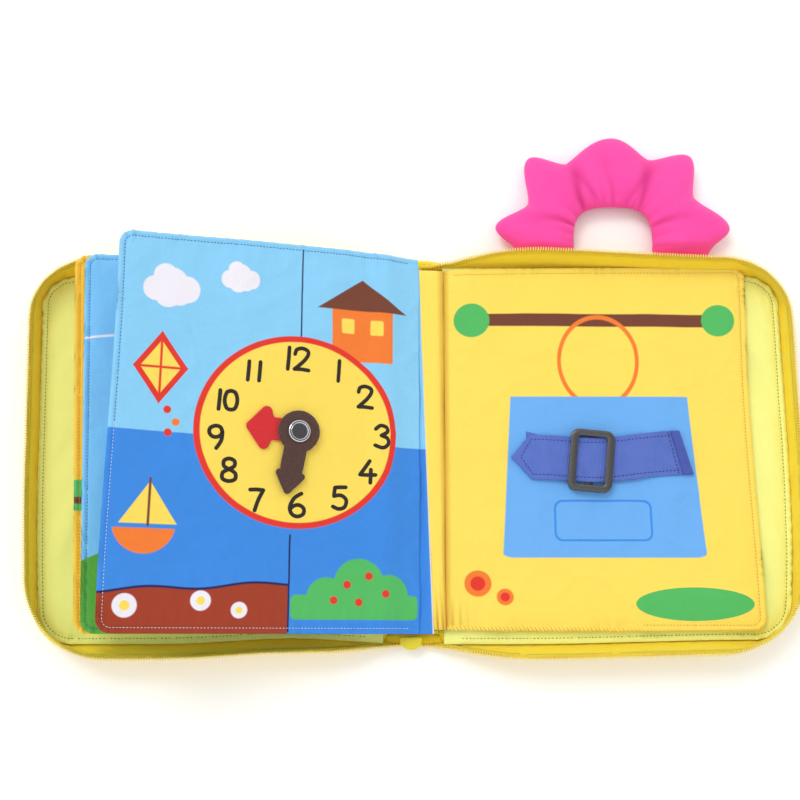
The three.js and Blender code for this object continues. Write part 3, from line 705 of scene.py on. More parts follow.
def zip_side(side):
    name = NAMES[side]
    rings, runs, teeth = [], [], []
    for station in wall_run(side):
        height, distance = station[3:]
        slack = 0.18 * ripple(distance / 6, side * 5, 0)
        ring = []
        for z, shift in TAPE_SECTION:
            ring.append(wall_point(side, station, max(height + z, 1.0 + (z + 6.6) * 0.5), shift + slack))
        rings.append(ring)
        runs.append(distance)
        teeth.append((wall_point(side, station, height - 1.15, slack), UPWARD))
    tape = tube(f"{name}_zip_tape_cloth", rings, [tape_cloth], (runs, [0, 2.1, 5, 5.7, 6.3, 7, 9.9, 12, 13]))
    fit(tape, "zip_tape", f"{name}_zip_tape")
    coil = row(f"{name}_zip_teeth", [teeth], teeth_plastic, TOOTH_PITCH, 0.9, 2.7, 2.3, sides=8)
    fit(coil, "zip_plastic", f"{name}_zip_coil")
    for piece in (tape, coil):
        over_crease(piece, side)
    wall, runs, heights = walls[side]
    cut = sum((b - a) * (low + high) / 2 for a, b, low, high in zip(runs, runs[1:], heights, heights[1:]))
    max(heights) * MM
    runs[-1] * MM
    cut * MM * MM


zip_side(1)
zip_side(-1)


# Spine ends: at head and foot the gusset strips run out into a small folded tongue of twill that closes the
# end of the case. The zip chain starts on the foot tongue.
def tongue(end):
    name = "head" if end > 0 else "foot"

    def skin(x, y, inset):
        full = crown(inset, 2.2)
        fold = 0.35 * ripple(x / 4.5, y / 2.2, end) * full
        return 0.9 * (1 - full), 1.4 + 1.7 * full + fold - 0.5 * smooth_step(8, 16, abs(x))

    fold = pad(
        f"spine_end_{name}_tongue",
        stations(-17.5, 17.5, 1.2, [0, 0.4, 1, 2]),
        [i / 12 for i in range(13)],
        lambda x: (111.6 + 0.0024 * x * x, 119.2 - 0.0045 * x * x),
        skin,
        lambda x, y, z: (x, y * end, z),
        [case_cloth],
    )
    fit(fold, "case_cloth", f"spine_end_{name}", body="spine")


tongue(1)
tongue(-1)
CHAIN_X = -1.5
chain_path = [((CHAIN_X, -112.6 - i * 0.4, 3.95), UPWARD) for i in range(19)]
chain = row("zip_chain_teeth", [chain_path], teeth_plastic, 1.5, 1.0, 4.6, 1.3, sides=8)
fit(chain, "zip_plastic", "zip_chain_start", body="spine")


# Slider and pull: the slider is a small moulded channel over the chain, and the pull is a smooth rounded
# tab of soft yellow plastic, hidden under the leaves apart from its round end.
def moved_in(line, i, inset):
    """A point of a closed line, moved inwards."""
    before, here, after = line[i - 1], line[i], line[(i + 1) % len(line)]
    dx, dy = after[0] - before[0], after[1] - before[1]
    length = hypot(dx, dy) or 1
    return here[0] - dy / length * inset, here[1] + dx / length * inset


def slab(name, outline, low, high, soft, finishes):
    """A plate with a closed outline and softly rounded upper and lower edges."""
    bends = [k * pi / 8 for k in range(5)]
    levels = [(low + soft * (1 - cos(bend)), soft * (1 - sin(bend))) for bend in bends]
    levels += [(high - soft * (1 - cos(bend)), soft * (1 - sin(bend))) for bend in reversed(bends)]
    rings = [[(*moved_in(outline, i, inset), z) for i in range(len(outline))] for z, inset in levels]
    return tube(name, rings, finishes)


def arc(x, y, radius, start, stop, count=16):
    angles = [start + (stop - start) * i / count for i in range(count + 1)]
    return [(x + radius * cos(angle), y + radius * sin(angle)) for angle in angles]


def round_box(x, y, half_x, half_y, radius, count):
    line = []
    for sx, sy, turn in ((1, 1, 0), (-1, 1, pi / 2), (-1, -1, pi), (1, -1, 1.5 * pi)):
        line += arc(x + sx * (half_x - radius), y + sy * (half_y - radius), radius, turn, turn + pi / 2, count)
    return line


pull_plastic = plastic("pull plastic", tint(232, 212, 34), roughness=0.42, grain=0.01)
pull_outline = arc(CHAIN_X, -114.6, 6.6, pi, 2 * pi, 28)
pull_outline += arc(CHAIN_X + 5.8, -114.4, 0.8, 0, pi / 2, 5) + arc(CHAIN_X - 5.8, -114.4, 0.8, pi / 2, pi, 5)
pull = slab("zip_pull_tab", pull_outline, 6.35, 8.15, 0.7, [pull_plastic])
fit(pull, "zip_plastic", "zip_pull", body="zip_pull")
slider = slab("zip_slider_body", round_box(CHAIN_X, -116, 5.4, 2.4, 1.2, 5), 4.85, 6.1, 0.4, [teeth_plastic])
fit(slider, "zip_plastic", "zip_slider", body="zip_slider")

# Linings: lime brushed cloth over wadding inside each cover, edged with a dark green topstitch. The wadding
# makes it swell, and it has long soft creases from being folded shut.
lime_cloth = cloth("lime cloth", tint(252, 255, 150), weave=0.5, rumple=0.06)
green_thread = plastic("dark green thread", tint(118, 140, 44), roughness=0.7)
LINING = LINING_END, LINING_FOOT, LINING_HEAD, LINING_CORNER = 227.7, -117.9, 113.0, 20
STITCH_INSET = 3.4


def lining_skin(side):
    def skin(x, y, _):
        inset = inside(x, y, *LINING)
        full = crown(inset, 11)
        groove = 0.55 * bell(inset - STITCH_INSET, 0.9)
        roll = 0.5 * bell(inset - 1.5, 1.1)
        run = x if abs(y) > 90 else y
        pucker = 0.7 * sin(run * 2 * pi / 6.5 + 2 * ripple(x / 11, y / 11, side)) * exp(-inset / 4.5)
        twist = 0.7 * sin((x + 1.3 * y) * 2 * pi / 7.5) * exp(-((y - LINING_FOOT) / 4.5))
        crease = 2.6 * max(ripple((x * 0.8 + y * 0.6) / 17, (x * 0.6 - y * 0.8) / 70, side * 9), 0) ** 0.8
        swell = 0.5 * ripple(x / 38, y / 38, side * 2)
        loft = 0.8 + 1.9 * full - groove + roll + pucker + twist - crease * full + swell * full
        return 3.45, max(4.7 + loft * smooth_step(19, 32, x), 4.2)

    return skin


def lining(side):
    name, skin = NAMES[side], lining_skin(side)
    xs = corner_stations(stations(18.5, LINING_END, 2.6, FINE), LINING_END, LINING_CORNER)
    shares = shares_across(LINING_FOOT, LINING_HEAD, 2.6, FINE)
    piece = pad(f"{name}_lining_pad", xs, shares, rounded(*LINING), skin, in_case(side), [lime_cloth])
    fit(piece, "lime_cloth", f"{name}_lining")
    bend = LINING_CORNER - STITCH_INSET
    low, high = LINING_FOOT + STITCH_INSET, LINING_HEAD - STITCH_INSET
    edge = round_case(30, LINING_END - STITCH_INSET, low, high, bend, bend)
    path = [(case_place(side, x, y, skin(x, y, 0)[1] + 0.2), UPWARD) for x, y in edge]
    stitches = row(f"{name}_lining_topstitch", [path], green_thread, 2.2, 1.5, 0.55, 0.5, turn=0.14)
    fit(stitches, "lime_cloth")
    for part in (piece, stitches):
        over_crease(part, side)


lining(1)
lining(-1)


# Leaves: two printed polyester cloths with a crinkle film between them, turned out and topstitched round the
# edge. Wadding makes them swell inside the stitching, and the film gives them fine stiff dents.
LEAF_HALF, LEAF_CORNER = 112.0, 8


def leaf_spot(side, seam_x, seam_z, tilt):
    along, up = (side * cos(tilt), sin(tilt)), (-side * sin(tilt), cos(tilt))

    def spot(r, y, z):
        return (seam_x + along[0] * r + up[0] * z, y, seam_z + along[1] * r + up[1] * z)

    return spot, (up[0], 0.0, up[1])


def leaf_skin(reach, head, rise, seed, stitch, gather, still):
    """Under and upper height of a leaf: rolled hem, stitched groove, swell inside it, and crinkles."""

    def skin(r, y, _):
        edge = inside(r, y, reach, -LEAF_HALF, head, LEAF_CORNER)
        full, lip = crown(edge, 13), crown(edge, 1.1)
        groove = 0.42 * bell(edge - stitch, 0.75)
        roll = 0.28 * bell(edge - 1.5, 0.9)
        run = r if min(y + LEAF_HALF, head - y) < reach - r else y
        wave = run * 2 * pi / 4.6 + 3 * ripple(r / 13, y / 13, seed)
        strength = max(0.3 + 1.1 * ripple(run / 15, seed, 1.5), 0.06)
        pucker = strength * sin(wave) * exp(-max(edge - 1, 0) / 5)
        calm = smooth_step(still[3], 60, hypot(r - still[0], (y - still[1]) * still[2])) if still else 1
        dent = 0.5 * ripple(r / 17, y / 17, seed + 4) + 1.5 * ripple(r / 46, y / 46, seed + 8)
        ridge = 1 - min(abs(ripple(r / 36, y / 30, seed + 12)) * 7, 1)
        body = 0.35 + 0.45 * lip + 0.75 * full
        shape = (dent + 0.55 * ridge) * calm * full + rise(r)
        folds = gather(r, y) if gather else 0
        return shape - body + groove * 0.6, shape + body - groove + roll + pucker + folds

    return skin


def leaf_edge(start, reach, head, inset, step=2.0):
    """The line of the topstitch: along the foot, round the fore corners and back along the head."""
    low, high, end = -LEAF_HALF + inset, head - inset, reach - inset
    bend = max(LEAF_CORNER - inset, 1.5)
    count = int((end - bend - start) / step)
    along = [start + (end - bend - start) * i / count for i in range(count)]
    tall = int((high - low - 2 * bend) / step)
    fore = [(end, low + bend + (high - low - 2 * bend) * i / tall) for i in range(1, tall)]
    foot = [(r, low) for r in along] + arc(end - bend, low + bend, bend, -pi / 2, 0, 8)
    return foot + fore + arc(end - bend, high - bend, bend, 0, pi / 2, 8) + [(r, high) for r in reversed(along)]


def leaf(name, side, seam, tilt, start, reach, rise, finishes, seed, askew, gather=None, stitch=3.2, step=2.2,
         head=LEAF_HALF, still=None):
    """A leaf in its place. askew(r, y) says how far the cloth is out of square there, out and along, gather
    what its seams draw up, and still where it lies flat."""
    straight, up = leaf_spot(side, *seam, tilt)

    def spot(r, y, z):
        out, along = askew(r, y)
        return straight(r + out, y + along, z)

    skin = leaf_skin(reach, head, rise, seed, stitch, gather, still)
    edge = [0, 0.3, 0.8, 1.5, 2.3, 3.2, 4.1, 5.2, 6.6]
    xs = corner_stations(stations(start, reach, step, edge), reach, LEAF_CORNER)
    shares = shares_across(-LEAF_HALF, head, step, edge)
    piece = pad(name, xs, shares, rounded(reach, -LEAF_HALF, head, LEAF_CORNER), skin, spot, finishes)
    return piece, (spot, skin, up)


def topstitch(name, thread, face, line):
    """Thread along a line on the upper side of a leaf."""
    spot, skin, up = face
    path = [(spot(r, y, skin(r, y, 0)[1] + 0.22), up) for r, y in line]
    return row(name, [path], thread, 2.0, 1.4, 0.46, 0.4, turn=0.1)


SKY = tint(140, 210, 250)
PALE_SKY = tint(128, 202, 250)
MID_BLUE = tint(60, 140, 230)
SUN_YELLOW = tint(255, 225, 95)
RED = tint(232, 55, 42)
ORANGE = tint(248, 128, 50)
BROWN = tint(120, 66, 48)
LEAF_GREEN = tint(85, 190, 100)
CLOUD = tint(244, 240, 250)


# Prints are laid on the cloth in mm from the seam (x) and from the middle of the leaf (y).
def plain_back(paint):
    yield paint.under(paint.y, -60), LEAF_GREEN
    yield paint.cloud((60, 60), 12), CLOUD
    yield paint.cloud((140, 30), 15), CLOUD


def second_print(paint):
    yield paint.disc((150, -140), 78), tint(90, 170, 60)
    yield PrintAndShade(paint.finish, paint.x, paint.y - (186 - paint.x) * 0.12).box(20, 186, 59.2, 60.6, 0.6), CLOUD
    yield paint.cloud((100, 20), 14), CLOUD


def third_print(paint):
    yield paint.box(150, 190, -42, -24, 2), LEAF_GREEN
    yield paint.box(150, 190, -38, -34, 1), BROWN


# Binding: the hems of all four leaves are stacked and sewn down along the spine, the wide ones below. Only
# its ends and a little of its sides can be seen between the leaves.
orange_cloth = cloth("orange page", tint(255, 200, 62), third_print)
pale_cloth = cloth("pale blue page", PALE_SKY, second_print)
sky_plain = cloth("sky page back", SKY, plain_back)
yellow_plain = cloth("yellow page back", tint(255, 226, 100), plain_back)
HEM_HALF = 110


def hem(name, left, right, low, high, finish):
    def skin(x, y, inset):
        full = crown(inset, 1.2)
        wave = 0.15 * ripple(x / 4, y / 9, low)
        middle, half = (low + high) / 2, (high - low) / 2 * (0.25 + 0.75 * full)
        return middle - half, middle + half + wave * full

    edge = [0, 0.3, 0.8, 1.4]
    xs, shares = stations(left, right, 2.5, edge), shares_across(-HEM_HALF, HEM_HALF, 5, edge)
    return pad(f"hem_{name}", xs, shares, lambda x: (-HEM_HALF, HEM_HALF), skin, as_it_lies, [finish])


def join(name, parts):
    """Several meshes of one piece, as one object."""
    with bpy.context.temp_override(active_object=parts[0], selected_editable_objects=parts):
        bpy.ops.object.join()
    parts[0].name = parts[0].data.name = name
    return parts[0]


hems = [
    hem("low", -16, 17.5, 3.7, 5.9, orange_cloth),
    hem("wide", -11.6, 17.4, 5.9, 7.1, yellow_plain),
    hem("mid", -11.1, 9.4, 7.1, 8.7, pale_cloth),
    hem("top", -6.6, 9.3, 8.7, 10.0, sky_plain),
]
binding = join("leaf_hem_stack", hems)
fit(binding, "page_yellow", "leaf_binding", body="spine")

# Third and second leaf: they lie in a slack pile under the clock leaf, and only their left edges show.
blue_thread = plastic("blue thread", tint(44, 104, 172), roughness=0.7)
rust_thread = plastic("rust thread", tint(235, 150, 40), roughness=0.7)
white_thread = plastic("white thread", tint(214, 232, 250), roughness=0.7)
PILE_TILT = radians(8.5)


def third_askew(r, y):
    return r / 185 * (2.1 + 0.044 * y), 0.0


def second_askew(r, y):
    return r / 186 * (0.034 * y - 0.5), 0.0


for name, seam, reach, finishes, thread, seed, askew, slot in (
    ("third", (-13.5, 7.3), 185, [orange_cloth, yellow_plain], rust_thread, 21, third_askew, "page_orange"),
    ("second", (-9, 10), 186.5, [pale_cloth, sky_plain], blue_thread, 22, second_askew, "page_blue"),
):
    body = f"{name}_leaf"
    page, face = leaf(
        f"{body}_pad", -1, seam, PILE_TILT, 1, reach, lambda r: 0.0, finishes, seed, askew, step=3
    )
    seam_thread = topstitch(f"{body}_topstitch", thread, face, leaf_edge(3, reach, LEAF_HALF, 3.2))
    fit(page, slot, f"{body}_front_cloth", f"{body}_crinkle_film", f"{body}_back_cloth", body=body)
    fit(seam_thread, slot, body=body)

# Clock leaf: sky blue above and deeper blue below, with the dial printed across its middle. It swells beside
# the seam, stands up at a slant and curls at its fore edge.
HEM, HUMP_END, HUMP, CURL_START, CURL = 8.2, 36.0, 1.8, 122.0, 4.0
CLOCK_SEAM, CLOCK_TILT, CLOCK_REACH, CLOCK_HEAD = (3.5, 11.0), radians(20), 182.5, 114.0
HEAD_BOW = ([0, 19, 47, 90, 109, 147, 182], [2.2, 2.8, 3.9, 3.4, 3.2, 1.8, 0.2])
DIAL, DIAL_RADIUS, DIAL_STRETCH, RING_WIDTH = (75.9, 3.9), 60.2, 1.062, 3.7
NAVY = tint(30, 30, 90)


def clock_print(paint):
    """A kite, clouds, a small boat, a house and bushes round the dial."""
    x, y, under, disc, box = paint.x, paint.y, paint.under, paint.disc, paint.box
    yield under(y - x * 0.012, -2.5), MID_BLUE
    ground = y + (x * 0.11).sine() * 1.2 - (x - 80) * -0.05
    left = 1 - under(x, 79.5)
    yield under(ground, -83.2) * left, NAVY
    yield under(ground, -84.5) * left, tint(165, 62, 36)
    yield paint.cloud((152, 84), 10), CLOUD
    yield paint.cloud((112, 92), 7), CLOUD
    kite = abs(x - 156) * 1.35 + abs(y - 36)
    sticks = paint.either(under(abs(x - 156), 0.7), under(abs(y - 36), 0.7))
    yield under(kite, 20.9), RED
    yield under(kite, 15.5), SUN_YELLOW
    yield under(kite, 20.9) * sticks, RED
    for bow, colour in ((151, 12), RED), ((146, 5), ORANGE), ((150, -1), RED):
        yield disc(bow, 2.2), colour
    yield box(18, 56, 48, 80, 1), ORANGE
    yield under(abs(x - 37) * 0.62 + y, 96.5) * under(79 - y, 0), BROWN
    yield paint.either(box(42, 50, 65, 74, 1.2), box(24, 32, 65, 74, 1.2)), SUN_YELLOW
    yield disc((160, -52), 17) * under(y, -55), ORANGE
    yield under(abs(x - 158) * 1.5 + (y + 53), 24) * under(-52.5 - y, 0), SUN_YELLOW
    yield box(157.3, 158.7, -54, -27, 0.5), BROWN
    for flower, radius in ((128, -94), 5.5), ((168, -97), 6.5), ((107, -99), 4.5):
        yield disc(flower, radius), CLOUD
        yield disc(flower, radius * 0.42), SUN_YELLOW
    for bush, radius in ((38, -84), 15), ((20, -90), 12), ((57, -92), 12):
        yield disc(bush, radius), LEAF_GREEN
    yield box(2, 78, -104, -90, 3), LEAF_GREEN
    for berry in ((32, -79), (45, -84), (22, -89), (53, -93), (38, -94)):
        yield disc(berry, 2.3), RED
    slanted = PrintAndShade(paint.finish, x + (y - 60) * 0.015, y)
    yield paint.either(box(78.6, 79.6, -111, -56, 0.4, 0.25), slanted.box(74.6, 75.5, 58, 111, 0.4, 0.25)), NAVY
    yield disc(DIAL, DIAL_RADIUS, DIAL_STRETCH), RED
    yield disc(DIAL, DIAL_RADIUS - RING_WIDTH, DIAL_STRETCH), SUN_YELLOW


def clock_rise(r):
    if r < HUMP_END:
        return HUMP * sin(pi * max(r - HEM, 0) / (HUMP_END - HEM)) ** 2
    return CURL * (max(r - CURL_START, 0) / (CLOCK_REACH - CURL_START)) ** 2


def clock_gather(r, y):
    foot = exp(-max(y + 110, 0) / 9) * 0.5 * sin(r * 2 * pi / 7.5 + 1.3)
    head = exp(-max(110 - y, 0) / 8) * 0.3 * sin(r * 2 * pi / 9)
    ledge = 0.3 * sin(r * 2 * pi / 11) * bell(y + 84, 5) * smooth_step(82, 90, r)
    return (foot + head + ledge) * smooth_step(8, 16, r)


def clock_askew(r, y):
    """The head edge is cut in a slight bow, and the fore edge runs out towards the foot."""
    out = (r / 182) ** 2 * (0.6 + 3.9 * (1 - smooth_step(-100, 90, y)))
    return out, float(np.interp(r, *HEAD_BOW)) * smooth_step(66, 114, y)


clock_cloth = cloth("clock page", SKY, clock_print, weave=0.45)
clock_page, clock_face = leaf(
    "clock_leaf_pad", -1, CLOCK_SEAM, CLOCK_TILT, 0.6, CLOCK_REACH, clock_rise, [clock_cloth, sky_plain], 23,
    clock_askew, clock_gather, step=2.0, head=CLOCK_HEAD, still=(75.7, 3.5, 1, 33),
)
fit(clock_page, "page_sky", "clock_leaf_front_cloth", "clock_leaf_crinkle_film", "clock_leaf_back_cloth")
clock_line = leaf_edge(8, CLOCK_REACH, CLOCK_HEAD, 3.2)
thread_change = next(i for i, (r, y) in enumerate(clock_line) if y > 2)
low_seam = topstitch("clock_leaf_low_topstitch", white_thread, clock_face, clock_line[:thread_change])
high_seam = topstitch("clock_leaf_topstitch", blue_thread, clock_face, clock_line[thread_change:])
clock_spot, clock_skin, _ = clock_face
for piece in (low_seam, high_seam):
    fit(piece, "page_sky")
for piece in (clock_page, high_seam, low_seam):
    [Vector(clock_spot(r, 0, 0)) * MM for r in (6.5, 13.0)]
    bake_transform(piece)

# Gutter of the clock leaf: its cloth runs on over the stack of hems and ends in a pale selvage, which lies on
# the roll of the buckle leaf at the foot and draws back from it towards the head.
DRAW_BACK, FOLD_LEFT, FOLD_RIGHT = 8.1, -2.5, 12.0


def fold_print(paint):
    yield paint.under(paint.y, -2.5), MID_BLUE
    yield paint.under(11.2 - paint.x, 0), CLOUD


def head_share(y):
    return (y + LEAF_HALF) / (2 * LEAF_HALF)


def fold_spot(x, y, z):
    back = DRAW_BACK * head_share(y) * (x - FOLD_LEFT) / (FOLD_RIGHT - FOLD_LEFT)
    return (x - back, y + 2.2 * smooth_step(66, 112, y), z)


def fold_skin(x, y, inset):
    full = crown(inset, 1.6)
    wave = 0.25 * ripple(x / 4, y / 14, 31)
    over = 0.95 * smooth_step(6.5, 9.8, x)
    return 10.1 + over, 10.45 + 0.75 * full + wave * full + over


fold = pad(
    "clock_leaf_fold",
    stations(FOLD_LEFT, FOLD_RIGHT, 1.2, [0, 0.4, 1, 1.8]),
    shares_across(-LEAF_HALF, LEAF_HALF, 2.5, [0, 0.4, 1, 1.8]),
    lambda x: (-LEAF_HALF, LEAF_HALF - 5 * max((x - 7) / 5, 0) ** 3),
    fold_skin,
    fold_spot,
    [cloth("blue fold", SKY, fold_print, weave=0.45)],
)
fit(fold, "page_sky", "clock_leaf_tuck", "clock_leaf_hem", body="spine")

# Numerals: printed in near-black ink in a round hand. They lie on the cloth as a film of ink and follow it.
ink = plastic("black ink", tint(36, 22, 14), roughness=0.6, grain=0.01)
STROKES = {
    "0": [
        [(0, 1), (-0.2, 0.9), (-0.29, 0.5), (-0.2, 0.1), (0, 0)]
        + [(0.2, 0.1), (0.29, 0.5), (0.2, 0.9), (0, 1)],
    ],
    "1": [[(0.02, 1), (0, 0.5), (-0.03, 0)]],
    "2": [
        [(-0.27, 0.72), (-0.2, 0.93), (0.02, 1), (0.24, 0.9), (0.26, 0.7), (0.08, 0.4), (-0.28, 0.02)],
        [(-0.28, 0.02), (0, 0.03), (0.3, 0.0)],
    ],
    "3": [
        [(-0.24, 0.84), (-0.04, 1), (0.2, 0.92), (0.22, 0.72), (-0.02, 0.55)],
        [(-0.02, 0.55), (0.24, 0.42), (0.26, 0.16), (0.04, 0), (-0.26, 0.1)],
    ],
    "4": [
        [(0.1, 1), (-0.08, 0.7), (-0.3, 0.36)],
        [(-0.3, 0.36), (0, 0.35), (0.32, 0.36)],
        [(0.14, 0.6), (0.13, 0.3), (0.12, 0)],
    ],
    "5": [
        [(0.24, 1), (0, 0.99), (-0.2, 0.97)],
        [(-0.2, 0.97), (-0.22, 0.8), (-0.24, 0.58)],
        [(-0.24, 0.58), (0.05, 0.62), (0.26, 0.42), (0.2, 0.1), (-0.04, 0), (-0.28, 0.1)],
    ],
    "6": [
        [(0.16, 1), (-0.12, 0.78), (-0.28, 0.4), (-0.2, 0.1), (0.02, 0)]
        + [(0.24, 0.12), (0.25, 0.36), (0.05, 0.5), (-0.18, 0.42), (-0.27, 0.28)],
    ],
    "7": [[(-0.27, 0.98), (0, 1), (0.28, 0.98)], [(0.28, 0.98), (0.08, 0.5), (-0.06, 0)]],
    "8": [
        [(0, 0.53), (-0.2, 0.66), (-0.2, 0.9), (0, 1), (0.2, 0.9), (0.2, 0.68), (0, 0.53)]
        + [(-0.24, 0.36), (-0.24, 0.1), (0, 0), (0.24, 0.1), (0.24, 0.36), (0, 0.53)],
    ],
    "9": [
        [(0.24, 0.72), (0.16, 0.94), (-0.04, 1), (-0.24, 0.88), (-0.26, 0.66)]
        + [(-0.1, 0.5), (0.12, 0.54), (0.24, 0.72)],
        [(0.24, 0.72), (0.2, 0.35), (0.02, 0)],
    ],
}
NUMERALS = {
    "12": (78.3, 47.1, 12.9), "1": (51.4, 41.8, 12.2), "2": (35.0, 27.1, 12.9), "3": (24.8, 3.5, 13.3),
    "4": (33.5, -17.9, 12.9), "5": (50.0, -34.0, 12.8), "6": (75.3, -39.0, 13.3), "7": (98.9, -37.0, 11.9),
    "8": (115.0, -20.5, 12.9), "9": (123.0, -2.0, 12.9), "10": (118.6, 19.8, 11.0), "11": (102.4, 38.0, 11.0),
}
NIB, FILM, LETTER_WIDTH = 1.12, 0.12, 1.14
INK_SECTION = [(across, FILM) for across in (-1, -0.5, 0, 0.5, 1)] + [(across, -FILM) for across in (1, 0, -1)]


def flowing(points, count=10):
    """A smooth line through a stroke's points."""
    padded = [points[0], *points, points[-1]]
    line = []
    for run in zip(padded, padded[1:], padded[2:], padded[3:]):
        for t in [i / count for i in range(count)]:
            bends = [
                (2 * q, r - p, 2 * p - 5 * q + 4 * r - s, 3 * q - p - 3 * r + s) for p, q, r, s in zip(*run)
            ]
            line.append(tuple(0.5 * (a + b * t + c * t * t + d * t**3) for a, b, c, d in bends))
    return line + [points[-1]]


def ink_rings(line):
    """Rings of ink along a line on the clock leaf, with round ends."""
    ends = []
    for i, (r, y) in enumerate(line):
        before, after = line[max(i - 1, 0)], line[min(i + 1, len(line) - 1)]
        dx, dy = after[0] - before[0], after[1] - before[1]
        length = hypot(dx, dy) or 1
        ends.append((r, y, dx / length * NIB, dy / length * NIB))
    turns = (0.0, 0.45, 0.8, 1.0)
    rounds = [(ends[0], -sqrt(1 - turn * turn), max(turn, 0.12)) for turn in turns]
    rounds += [(end, 0.0, 1.0) for end in ends[1:-1]]
    rounds += [(ends[-1], sqrt(1 - turn * turn), max(turn, 0.12)) for turn in reversed(turns)]
    rings = []
    for (r, y, dx, dy), ahead, full in rounds:
        ring = []
        for across, film in INK_SECTION:
            at_r, at_y = r - dy * across * full + dx * ahead, y + dx * across * full + dy * ahead
            ring.append(clock_spot(at_r, at_y, clock_skin(at_r, at_y, 0)[1] + film))
        rings.append(ring)
    return rings


points, faces = [], []
for text, (centre_r, centre_y, height) in NUMERALS.items():
    for index, letter in enumerate(text):
        shift = (index - (len(text) - 1) / 2) * height * 0.6
        for stroke in STROKES[letter]:
            line = [
                (centre_r - shift - x * height * LETTER_WIDTH, centre_y + (y - 0.5) * height)
                for x, y in flowing(stroke)
            ]
            rings = ink_rings(line)
            faces += ring_faces(len(rings), len(INK_SECTION), first=len(points))
            points += [point for ring in rings for point in ring]
numerals = build("dial_numerals", points, faces, [ink])
fit(numerals, "felt_brown", body="clock_leaf")

# Hands: cut from 1.5 mm felt, the red hour hand under the brown minute hand. Both turn stiffly on a chrome
# rivet with a domed cap and a washer behind the leaf.
CLOCK_ALONG, CLOCK_ACROSS, LEAF_FACE = 75.7, 3.5, 1.45


def on_dial(x, y, z):
    return clock_spot(CLOCK_ALONG - x, CLOCK_ACROSS + y, LEAF_FACE + z)


def felt(name, colour, light):
    finish = Finish(bpy.data.materials.new(name))
    place = finish.on_piece()
    clumps = finish.clouded(place, 0.9, 6.0, Roughness=0.75, Distortion=1.5)
    fibres = finish.clouded(place, 4.5, 5.0, Roughness=0.8, Distortion=3.0)
    nap = {"Sheen_Weight": 0.35, "Sheen_Roughness": 0.6, "Specular_IOR_Level": 0.15}
    shade = finish.mix((clumps - 0.4) * 2.2, colour, light)
    return finish.surface(shade, fibres * 0.1 + 0.88, clumps * 0.25 + fibres * 0.22, **nap)


def hand_outline(hub, shaft, head, head_length, length, corner):
    """A felt hand that points along x: round hub, straight shaft, arrow head with soft corners."""
    neck = length - head_length
    leave, slope = asin(shaft / 2 / hub), atan2(head / 2, head_length)
    start = hub * cos(leave)
    line = arc(0, 0, hub, leave, 2 * pi - leave, 60)
    line += [(start + (neck - start) * i / 6, -shaft / 2) for i in range(1, 6)]
    line += arc(neck + corner, corner - head / 2, corner, pi, 1.5 * pi + slope, 10)
    line += arc(length - corner * 1.6, 0, corner, slope - pi / 2, pi / 2 - slope, 10)
    line += arc(neck + corner, head / 2 - corner, corner, pi / 2 - slope, pi, 10)
    return line + [(neck - (neck - start) * i / 6, shaft / 2) for i in range(1, 6)]


def spaced_evenly(line, step):
    """The closed line again, with points a step apart."""
    line = line + [line[0]]
    lengths = [0.0]
    for a, b in zip(line, line[1:]):
        lengths.append(lengths[-1] + hypot(b[0] - a[0], b[1] - a[1]))
    count = int(lengths[-1] / step)
    places, at = [], 0
    for i in range(count):
        target = lengths[-1] * i / count
        while lengths[at + 1] < target:
            at += 1
        share = (target - lengths[at]) / max(lengths[at + 1] - lengths[at], 1e-9)
        a, b = line[at], line[at + 1]
        places.append((a[0] + (b[0] - a[0]) * share, a[1] + (b[1] - a[1]) * share))
    return places


def felt_hand(name, outline, angle, low, high, finish, seed):
    """A hand of felt between two heights. Its rings start and end near its heart, round the cut edge."""
    edge = spaced_evenly(outline, 0.9)

    def ring_at(z, inset, share=1.0):
        places = []
        for i, here in enumerate(edge):
            fray = 0.16 * ripple(here[0] * 1.1, here[1] * 1.1, z * 3 + seed)
            x, y = moved_in(edge, i, inset + fray)
            heart = min(max(x, 0), 26) * 0.9
            x, y = heart + (x - heart) * share, y * share
            lift = 0.12 * ripple(x / 5, y / 5, seed)
            places.append(on_dial(x * cos(angle) - y * sin(angle), x * sin(angle) + y * cos(angle), z + lift))
        return places

    cut_edge = (0.0, 0.55), (0.12, 0.2), (0.3, 0.05), (0.7, 0.05), (0.88, 0.2), (1.0, 0.55)
    shrink = [0.86, 0.7, 0.5, 0.3, 0.12]
    rings = [ring_at(low, 0.6, share) for share in reversed(shrink)]
    rings += [ring_at(low + (high - low) * share, inset) for share, inset in cut_edge]
    rings += [ring_at(high, 0.6, share) for share in shrink]
    return tube(name, rings, [finish])


felt_red = felt("red felt", tint(205, 18, 28), tint(240, 45, 50))
felt_brown = felt("brown felt", tint(66, 38, 32), tint(104, 66, 54))
hour_line = hand_outline(11.5, 13.6, 25.5, 16.5, 32.7, 3.4)
minute_line = hand_outline(12.4, 13.6, 17.4, 15, 38.7, 2.2)
hour = felt_hand("hour_hand_felt", hour_line, pi - radians(4.4), 0.3, 1.8, felt_red, 41)
minute = felt_hand("minute_hand_felt", minute_line, pi + radians(79.7), 2.1, 3.6, felt_brown, 42)
for hand, line, slot, node in (
    (hour, hour_line, "felt_red", "hour_hand"),
    (minute, minute_line, "felt_brown", "minute_hand"),
):
    fit(hand, slot, node, body=node)
    wide, tall = (max(values) - min(values) for values in zip(*line))
    area = abs(sum(a[0] * b[1] - b[0] * a[1] for a, b in zip(line, line[1:] + line[:1]))) / 2
    tall * MM
    wide * MM
    area * MM * MM

